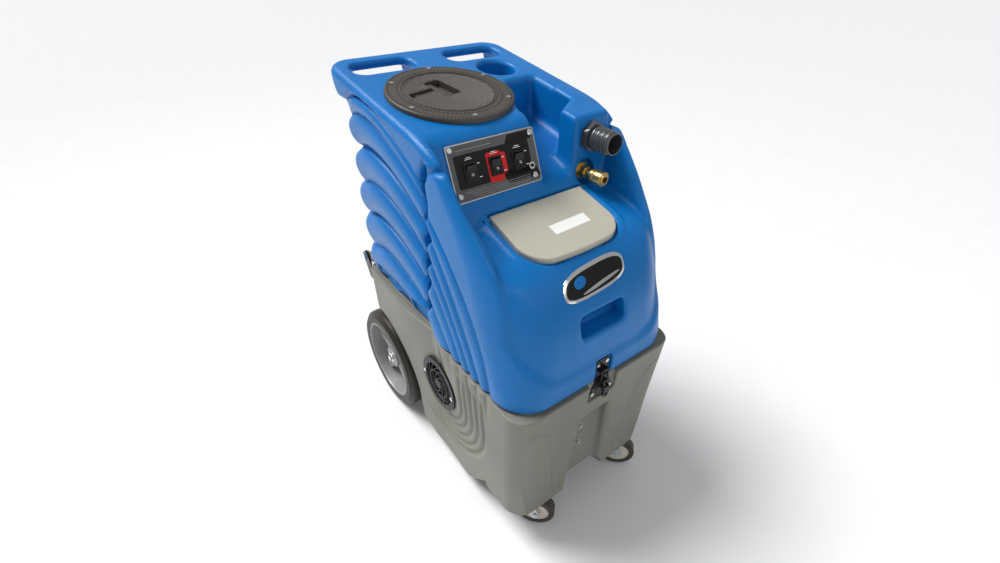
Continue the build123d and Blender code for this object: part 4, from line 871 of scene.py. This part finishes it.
def on_plate(x, v, lift):
    """Point beside the access plate's centre, at a height above the deck."""
    c, s = math.cos(DECK_TILT), math.sin(DECK_TILT)
    y = ACCESS_PLACE[1] + v * c - lift * s
    z = DECK_Z + math.tan(DECK_TILT) * ACCESS_PLACE[1] + v * s + lift * c
    return x + ACCESS_PLACE[0], y, z


def spin(name, profile, place, axis, body, finish, count):
    """Turned piece: profile gives distance along the axis and radius, closed on itself."""
    build = bmesh.new()
    axis = Vector(axis)
    side = axis.orthogonal().normalized()
    other = axis.cross(side)
    rings = []
    for along, r in profile:
        ring = []
        for i in range(count):
            a = 2 * math.pi * i / count
            point = Vector(place) + axis * along + (side * math.cos(a) + other * math.sin(a)) * r
            ring.append(build.verts.new(point))
        rings.append(ring)
    for lower, upper in zip(rings, rings[1:] + rings[:1]):
        for i in range(count):
            j = (i + 1) % count
            build.faces.new((lower[i], lower[j], upper[j], upper[i]))
    return new_piece(name, build, body, finish)


SILVER = shade("panel_plate", (0.5, 0.5, 0.49), 0.35, metal=0.9, grain=700, bump=0.03)
BAND = shade("overlay_grey", (0.1, 0.1, 0.1), 0.4, shine=0.25, bump=0.04)
INK = shade("overlay_black", (0.007, 0.007, 0.007), 0.38, shine=0.2, bump=0.04)
RED = shade("overlay_red", (0.62, 0.012, 0.012), 0.38, shine=0.25, bump=0.04)
WHITE = shade("print_white", (0.85, 0.85, 0.82), 0.5, shine=0.3, bump=0.02)
PALE = shade("print_grey", (0.3, 0.3, 0.3), 0.5, shine=0.3, bump=0.02)
STICKER = shade("sticker_white", (0.85, 0.85, 0.81), 0.55, grain=500, bump=0.05, mottle=0.03)
frame["nodes"]["switch_panel"].data.materials[0] = SILVER
PANEL_THICKNESS = 2.5


def printed(name, outlines, low, high, finish, holes=()):
    """Flat print on the panel; the first outline may have openings."""
    build = bmesh.new()
    if holes:
        edges = []
        for loop in (outlines[0], *holes):
            verts = [build.verts.new(on_panel(px, py, PANEL_THICKNESS + low)) for px, py in loop]
            edges += [build.edges.new(pair) for pair in zip(verts, verts[1:] + verts[:1])]
        filled = bmesh.ops.triangle_fill(build, use_beauty=True, edges=edges)["geom"]
        flat = [f for f in filled if isinstance(f, bmesh.types.BMFace)]
        lifted = bmesh.ops.extrude_face_region(build, geom=flat, use_keep_orig=True)["geom"]
        upper = [v for v in lifted if isinstance(v, bmesh.types.BMVert)]
        shift = Vector(on_panel(0, 0, high)) - Vector(on_panel(0, 0, low))
        bmesh.ops.translate(build, vec=shift, verts=upper)
        outlines = outlines[1:]
    for outline in outlines:
        slab(build, outline, on_panel, PANEL_THICKNESS + low, PANEL_THICKNESS + high)
    return new_piece(name, build, "tank", finish, smooth=False)


# each switch's name, x and distance below the panel's top edge
SWITCHES = (("left", -111.5, 44.5), ("middle", -65, 45), ("right", -19.5, 45.3))
openings = [round_rect(x, down, 21, 27, 1) for _, x, down in SWITCHES]
printed("panel_band", [round_rect(-63.5, 43.7, 163.5, 84, 3)], -0.1, 0.15, BAND, openings)
dark = [round_rect(-66, 42, 142, 51, 3), round_rect(-11, 10.4, 52, 14, 2, lean=-8)]
dark.append(round_rect(-18, 68, 66, 20, 2, lean=10))
printed("panel_field", dark, 0.1, 0.3, INK, openings)
around = [round_rect(-66.2, 46.2, 28.5, 46.8, 4), round_rect(-49.5, 43, 11.5, 32, 3)]
printed("panel_red", around, 0.25, 0.5, RED, openings[1:2])
marks = []
for _, x, down in SWITCHES:
    marks.append(round_rect(x + 16, down - 10.5, 4.5, 1.4, 0.6, turns=2))
    marks.append(round_rect(x + 16, down + 10.5, 5.0, 1.4, 0.6, turns=2))
    marks.append(round_rect(x, down - 19.5, 14, 0.9, 0.4, turns=2))
    marks.append(round_rect(x, down - 22, 9, 0.9, 0.4, turns=2))
printed("panel_marks", marks, 0.45, 0.6, WHITE)
lines = [round_rect(-66 + 4 * i, 73 + 3.1 * i, 128 - 8 * i, 0.6, 0.28, turns=2) for i in range(4)]
lines.append(round_rect(-98, 10, 64, 1.0, 0.4, turns=2))
printed("panel_lines", lines, 0.28, 0.42, PALE)

# marks on the three rockers
for name, x, down in SWITCHES:
    origin = Vector(on_panel(x, down, PANEL_THICKNESS))
    # the rocker's two faces meet in a shallow valley across its middle
    up = Vector((0, math.sin(PANEL_TILT), math.cos(PANEL_TILT)))
    out = Vector((0, -math.cos(PANEL_TILT), math.sin(PANEL_TILT)))
    lean = math.radians(10)
    for which, shape in ((1, "bar"), (-1, "ring")):
        flat = math.atan2(2.0, 10.8) * which
        run = (up * math.cos(lean - flat) - out * math.sin(lean - flat)).normalized()
        lift = Vector((1, 0, 0)).cross(run).normalized()
        if lift.dot(out) < 0:
            lift = -lift
        base_point = origin + lift * 2.6
        build = bmesh.new()
        if shape == "bar":

            def on_rocker(a, b, h, start=base_point, run=run, lift=lift):
                return start + Vector((a, 0, 0)) + run * b + lift * h

            slab(build, round_rect(0, 5.6, 0.9, 4.4, 0.4, turns=3), on_rocker, -0.1, 0.22)
        else:
            centre = base_point - run * 5.6
            for i in range(24):
                a, b = (2 * math.pi * (i + k) / 24 for k in (0, 1))
                quad = []
                for h in (-0.1, 0.22):
                    for angle, r in ((a, 1.4), (a, 2.1), (b, 2.1), (b, 1.4)):
                        spot = centre + Vector((r * math.cos(angle), 0, 0))
                        quad.append(build.verts.new(spot + run * r * math.sin(angle) + lift * h))
                build.faces.new(quad[3::-1])
                build.faces.new(quad[4:])
                build.faces.new((quad[0], quad[3], quad[7], quad[4]))
                build.faces.new((quad[1], quad[5], quad[6], quad[2]))
            bmesh.ops.remove_doubles(build, verts=build.verts, dist=0.01)
        new_piece(f"rocker_{name}_{shape}", build, f"rocker_{name}", WHITE, smooth=False)

# sticker on the lid
build = bmesh.new()
sticker = [(-24, -62), (53, -60.5), (52, -81), (-24, -83)]
slab(build, sticker, on_lid, -0.05, 0.25)
new_piece("lid_sticker", build, "fill_lid", STICKER, smooth=False)

# studs on the access ring and the pyramids on its disc
build = bmesh.new()
for radius, count, long, wide in ((87.8, 84, 3.4, 1.7), (103.0, 110, 2.4, 1.8)):
    for i in range(count):
        a = 2 * math.pi * i / count
        ca, sa = math.cos(a), math.sin(a)

        def stud(px, py, h, ca=ca, sa=sa, radius=radius):
            return on_plate((radius + px) * ca - py * sa, (radius + px) * sa + py * ca, h)

        slab(build, round_rect(0, 0, wide, long, 0.75, turns=2), stud, 7.7, 9.1, 0.5)
new_piece("ring_studs", build, "tank", FINISHES["plate_grey"])

build = bmesh.new()
PITCH = 4.1
EYE = (-55.5, 7)  # eye of the folding handle, from the plate's centre
HANDLE_TURN = math.radians(11)
SQUARE = ((-1, -1), (1, -1), (1, 1), (-1, 1))
ct, st = math.cos(HANDLE_TURN), math.sin(HANDLE_TURN)
for i in range(-19, 20):
    for j in range(-19, 20):
        px, py = i * PITCH, j * PITCH
        if math.hypot(px, py) > 74:
            continue
        # no pyramids where the folded handle lies
        hx = (px - EYE[0]) * ct + (py - EYE[1]) * st
        hy = (py - EYE[1]) * ct - (px - EYE[0]) * st
        on_bar = -18.5 < hx < 50.5 and abs(hy) < 11
        on_tee = 32.5 < hx < 69.5 and abs(hy) < 33.5
        if on_bar or on_tee:
            continue
        foot = [build.verts.new(on_plate(px + a * 1.95, py + b * 1.95, 6.8)) for a, b in SQUARE]
        tip = [build.verts.new(on_plate(px + a * 0.5, py + b * 0.5, 8.1)) for a, b in SQUARE]
        for k in range(4):
            n = (k + 1) % 4
            build.faces.new((foot[k], foot[n], tip[n], tip[k]))
        build.faces.new(foot[::-1])
        build.faces.new(tip)
new_piece("disc_pyramids", build, "access_disc", FINISHES["plate_grey"], smooth=False)

# raised ring round the pyramids
build = bmesh.new()
for a in range(96):
    t0, t1 = (2 * math.pi * (a + k) / 96 for k in (0, 1))
    quad = []
    for t in (t0, t1):
        for r, h in ((76, 6.9), (76.4, 8.0), (78, 8.0), (78.4, 6.9)):
            quad.append(build.verts.new(on_plate(r * math.cos(t), r * math.sin(t), h)))
    for k in range(4):
        n = (k + 1) % 4
        build.faces.new((quad[k], quad[n], quad[4 + n], quad[4 + k]))
bmesh.ops.remove_doubles(build, verts=build.verts, dist=0.01)
new_piece("disc_rim", build, "access_disc", FINISHES["plate_grey"])

# hose barb with smooth rings behind a moulded hexagon
barb = [(-113 + 1.5, 16.5), (-168, 16.5), (-168, 18.2), (-167, 18.9)]
for k in range(4):
    start = -164.5 + 10.0 * k
    for t in range(9):
        w = math.sin(math.pi * t / 8)
        barb.append((start + t * 1.1, 19.0 + 1.55 * w**0.8))
barb += [(-124, 19.0), (-123.5, 19.4), (-111.5, 19.4)]
profile = [(-y, r) for y, r in barb]
middle = (BARB_PLACE[0], 0, BARB_PLACE[1])
piece = spin("barb_tube", profile, middle, (0, -1, 0), "tank", FINISHES["pvc_grey"], 72)
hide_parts("hose_barb")
build = bmesh.new()
rings = []
for y, r in ((-111.5, 26.9), (-121.5, 26.9), (-124.6, 24.2), (-124.6, 19.2), (-111.5, 19.2)):
    ring = []
    for i in range(48):
        a = 2 * math.pi * i / 48
        flat = 23.38 / math.cos(a % (math.pi / 3) - math.pi / 6) if r > 20 else r
        reach = min(r, flat)
        x = BARB_PLACE[0] + reach * math.sin(a)
        z = BARB_PLACE[1] + reach * math.cos(a)
        ring.append(build.verts.new((x, y, z)))
    rings.append(ring)
for lower, upper in zip(rings, rings[1:] + rings[:1]):
    for i in range(48):
        j = (i + 1) % 48
        build.faces.new((lower[i], lower[j], upper[j], upper[i]))
new_piece("barb_hexagon", build, "tank", FINISHES["pvc_grey"])


def vent_grille(side):
    """Round grille: rim, a ring and a hub joined by swept ribs."""
    # the CAD grille's box is in metres, and the new one is built in millimetres
    low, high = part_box(f"vent_grille_{side}")
    middle = [(a + b) * 500 for a, b in zip(low, high)]
    face = (high[0] if side == "right" else low[0]) * 1000
    out = 1 if side == "right" else -1
    radius = (high[2] - low[2]) * 500

    def place(u, v, lift):
        return face - out * (4 - lift), middle[1] + u, middle[2] + v

    build = bmesh.new()
    for inner, outer in ((radius - 13, radius), (29, 32.5), (0, 11)):
        rings = []
        top = [(outer, 3.2), (outer - 0.8, 4), (inner + 0.6, 4), (inner, 3.4)]
        for r, lift in [(inner, 0), (outer, 0), *top]:
            turns = [2 * math.pi * i / 72 for i in range(72)]
            rings.append([build.verts.new(place(r * math.cos(a), r * math.sin(a), lift)) for a in turns])
        for lower, upper in zip(rings, rings[1:] + rings[:1]):
            for i in range(72):
                j = (i + 1) % 72
                build.faces.new((lower[i], lower[j], upper[j], upper[i]))
    for inner, outer, count, sweep in ((10, 30, 9, 0.9), (31.5, radius - 12, 16, 0.55)):
        for k in range(count):
            lines = []
            for half in (-1.5, 1.5):
                for t in (0, 0.25, 0.5, 0.75, 1) if half < 0 else (1, 0.75, 0.5, 0.25, 0):
                    r = inner + (outer - inner) * t
                    a = 2 * math.pi * k / count + sweep * t + half / r
                    lines.append((r * math.cos(a), r * math.sin(a)))
            slab(build, lines, place, 0.2, 3.6)
    bmesh.ops.remove_doubles(build, verts=build.verts, dist=0.001)
    piece = new_piece(f"grille_{side}", build, "base", FINISHES["black_plastic"])
    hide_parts(f"vent_grille_{side}")


vent_grille("left")
vent_grille("right")


def front_of_tank(x, z):
    """y where the tank's front surface lies."""
    y = np.full(np.shape(x), -330.0)
    for _ in range(60):
        y = y + 0.6 * tank(x, y, z)
    return y


# each ring's share of a badge plate's size, and its place: 1 on top, 0 at the edge, -1 in the tank
BADGE_RINGS = (
    (0.2, 1),
    (0.45, 1),
    (0.7, 1),
    (0.86, 1),
    (0.96, 1),
    (1.0, 0),
    (1.0, -1),
    (0.6, -1),
    (0.2, -1),
)


def patch(name, wide, tall, lifts, finish, lean, rise, centre, power=3.0):
    """Thin plate that follows the tank's front; lifts give its height at the edge and inside."""
    build = bmesh.new()
    count = 56
    a = np.arange(count) * 2 * math.pi / count
    c, s = np.cos(a), np.sin(a)
    reach = (np.abs(c) ** power + np.abs(s) ** power) ** (-1 / power)
    loops = []
    for size, where in BADGE_RINGS:
        u = size * reach * c * wide / 2
        v = size * reach * s * tall / 2
        x = centre[0] + u + lean * v / tall - v * rise
        z = centre[1] + v + u * rise
        y = front_of_tank(x, z) + (0.8 if where < 0 else -lifts[where])
        loops.append([build.verts.new(p) for p in zip(x, y, z)])
    for lower, upper in zip(loops, loops[1:]):
        for i in range(count):
            j = (i + 1) % count
            build.faces.new((lower[i], lower[j], upper[j], upper[i]))
    build.faces.new(loops[0][::-1])
    build.faces.new(loops[-1])
    new_piece(name, build, "tank", finish)


# plain oval badge
WAVE_PLACE = (BADGE_PLACE[0] + 10, BADGE_PLACE[1] - 8)
DROP_PLACE = (BADGE_PLACE[0] - 32, BADGE_PLACE[1] + 3)
patch("badge_edge", 134, 41, (0.6, 1.4), FINISHES["chrome"], 10, 0.05, BADGE_PLACE)
patch("badge_face", 125, 32, (1.4, 2.0), INK, 9, 0.05, BADGE_PLACE)
patch("badge_wave", 84, 5, (2.0, 2.7), SILVER, 4, 0.12, WAVE_PLACE, 2.0)
patch("badge_drop", 24, 15, (2.0, 2.8), FINISHES["blue_shell"], 6, 0.0, DROP_PLACE, 2.0)

# softened edges on the CAD pieces that show
for name in (
    "fill_lid",
    "access_ring",
    "switch_panel",
    "switch_bezels",
    "rocker_left",
    "rocker_middle",
    "rocker_right",
    "latch_plate",
    "latch_lever",
    "latch_keeper",
    "coupler_body",
    "coupler_sleeve",
    "disc_handle",
    "wheel_hub_left",
    "wheel_hub_right",
):
    node = frame["nodes"][name]
    soft = node.modifiers.new("soft", "BEVEL")
    soft.width = 0.0006 if "rocker" not in name else 0.0004
    soft.segments = 2
    soft.limit_method = "ANGLE"
    soft.angle_limit = math.radians(35)
    soft.harden_normals = True

# ---- camera, light and floor ----

# the camera that was fitted to the photo
CAMERA_PLACE = (-0.5019, -0.6955, 1.0020)
CAMERA_AZIMUTH = math.radians(-36.66)
CAMERA_ELEVATION = math.radians(35.0)
CAMERA_ROLL = math.radians(0.11)
bpy.context.scene.view_settings.view_transform = "Standard"
camera = bpy.data.objects.new("camera", bpy.data.cameras.new("camera"))
bpy.context.scene.collection.objects.link(camera)
bpy.context.scene.camera = camera
camera.data.lens = 17.89
camera.data.sensor_width = 36
camera.data.clip_start = 0.05
turn = Matrix.Rotation(CAMERA_AZIMUTH, 4, "Z")
turn = turn @ Matrix.Rotation(math.pi / 2 - CAMERA_ELEVATION, 4, "X")
turn = turn @ Matrix.Rotation(CAMERA_ROLL, 4, "Z")
camera.matrix_world = Matrix.Translation(CAMERA_PLACE) @ turn


def lamp(name, place, aim, size, power):
    """Area light that points at a place."""
    light = bpy.data.lights.new(name, "AREA")
    light.shape = "RECTANGLE"
    light.size, light.size_y = size
    light.energy = power
    holder = bpy.data.objects.new(name, light)
    bpy.context.scene.collection.objects.link(holder)
    holder.location = place
    holder.rotation_mode = "QUATERNION"
    holder.rotation_quaternion = (Vector(aim) - Vector(place)).to_track_quat("-Z", "Y")


lamp("rear", (-0.9, 1.1, 2.4), (0, 0, 0.6), (1.8, 0.35), 16)
lamp("front", (0.2, -2.2, 1.9), (0, 0, 0.4), (1.8, 0.6), 8)
sun = bpy.data.objects.new("sun", bpy.data.lights.new("sun", "SUN"))
bpy.context.scene.collection.objects.link(sun)
sun.data.energy = 2.6
sun.data.angle = math.radians(26)
sun.rotation_mode = "QUATERNION"
sun.rotation_quaternion = Vector((0.35, -0.55, -1.0)).to_track_quat("-Z", "Y")
world = bpy.data.worlds.new("studio")
bpy.context.scene.world = world
world.use_nodes = True
world.node_tree.nodes["Background"].inputs["Color"].default_value = (0.95, 0.97, 1.0, 1)
world.node_tree.nodes["Background"].inputs["Strength"].default_value = 0.4

floor_mesh = bpy.data.meshes.new("floor")
build = bmesh.new()
bmesh.ops.create_grid(build, x_segments=8, y_segments=8, size=60)
build.to_mesh(floor_mesh)
build.free()
floor = bpy.data.objects.new("floor", floor_mesh)
bpy.context.scene.collection.objects.link(floor)
floor.location = (0, 0, -0.0005)
floor_mesh.materials.append(shade("floor_paper", (0.85, 0.85, 0.85), 0.8, grain=60, bump=0.02, mottle=0.01))
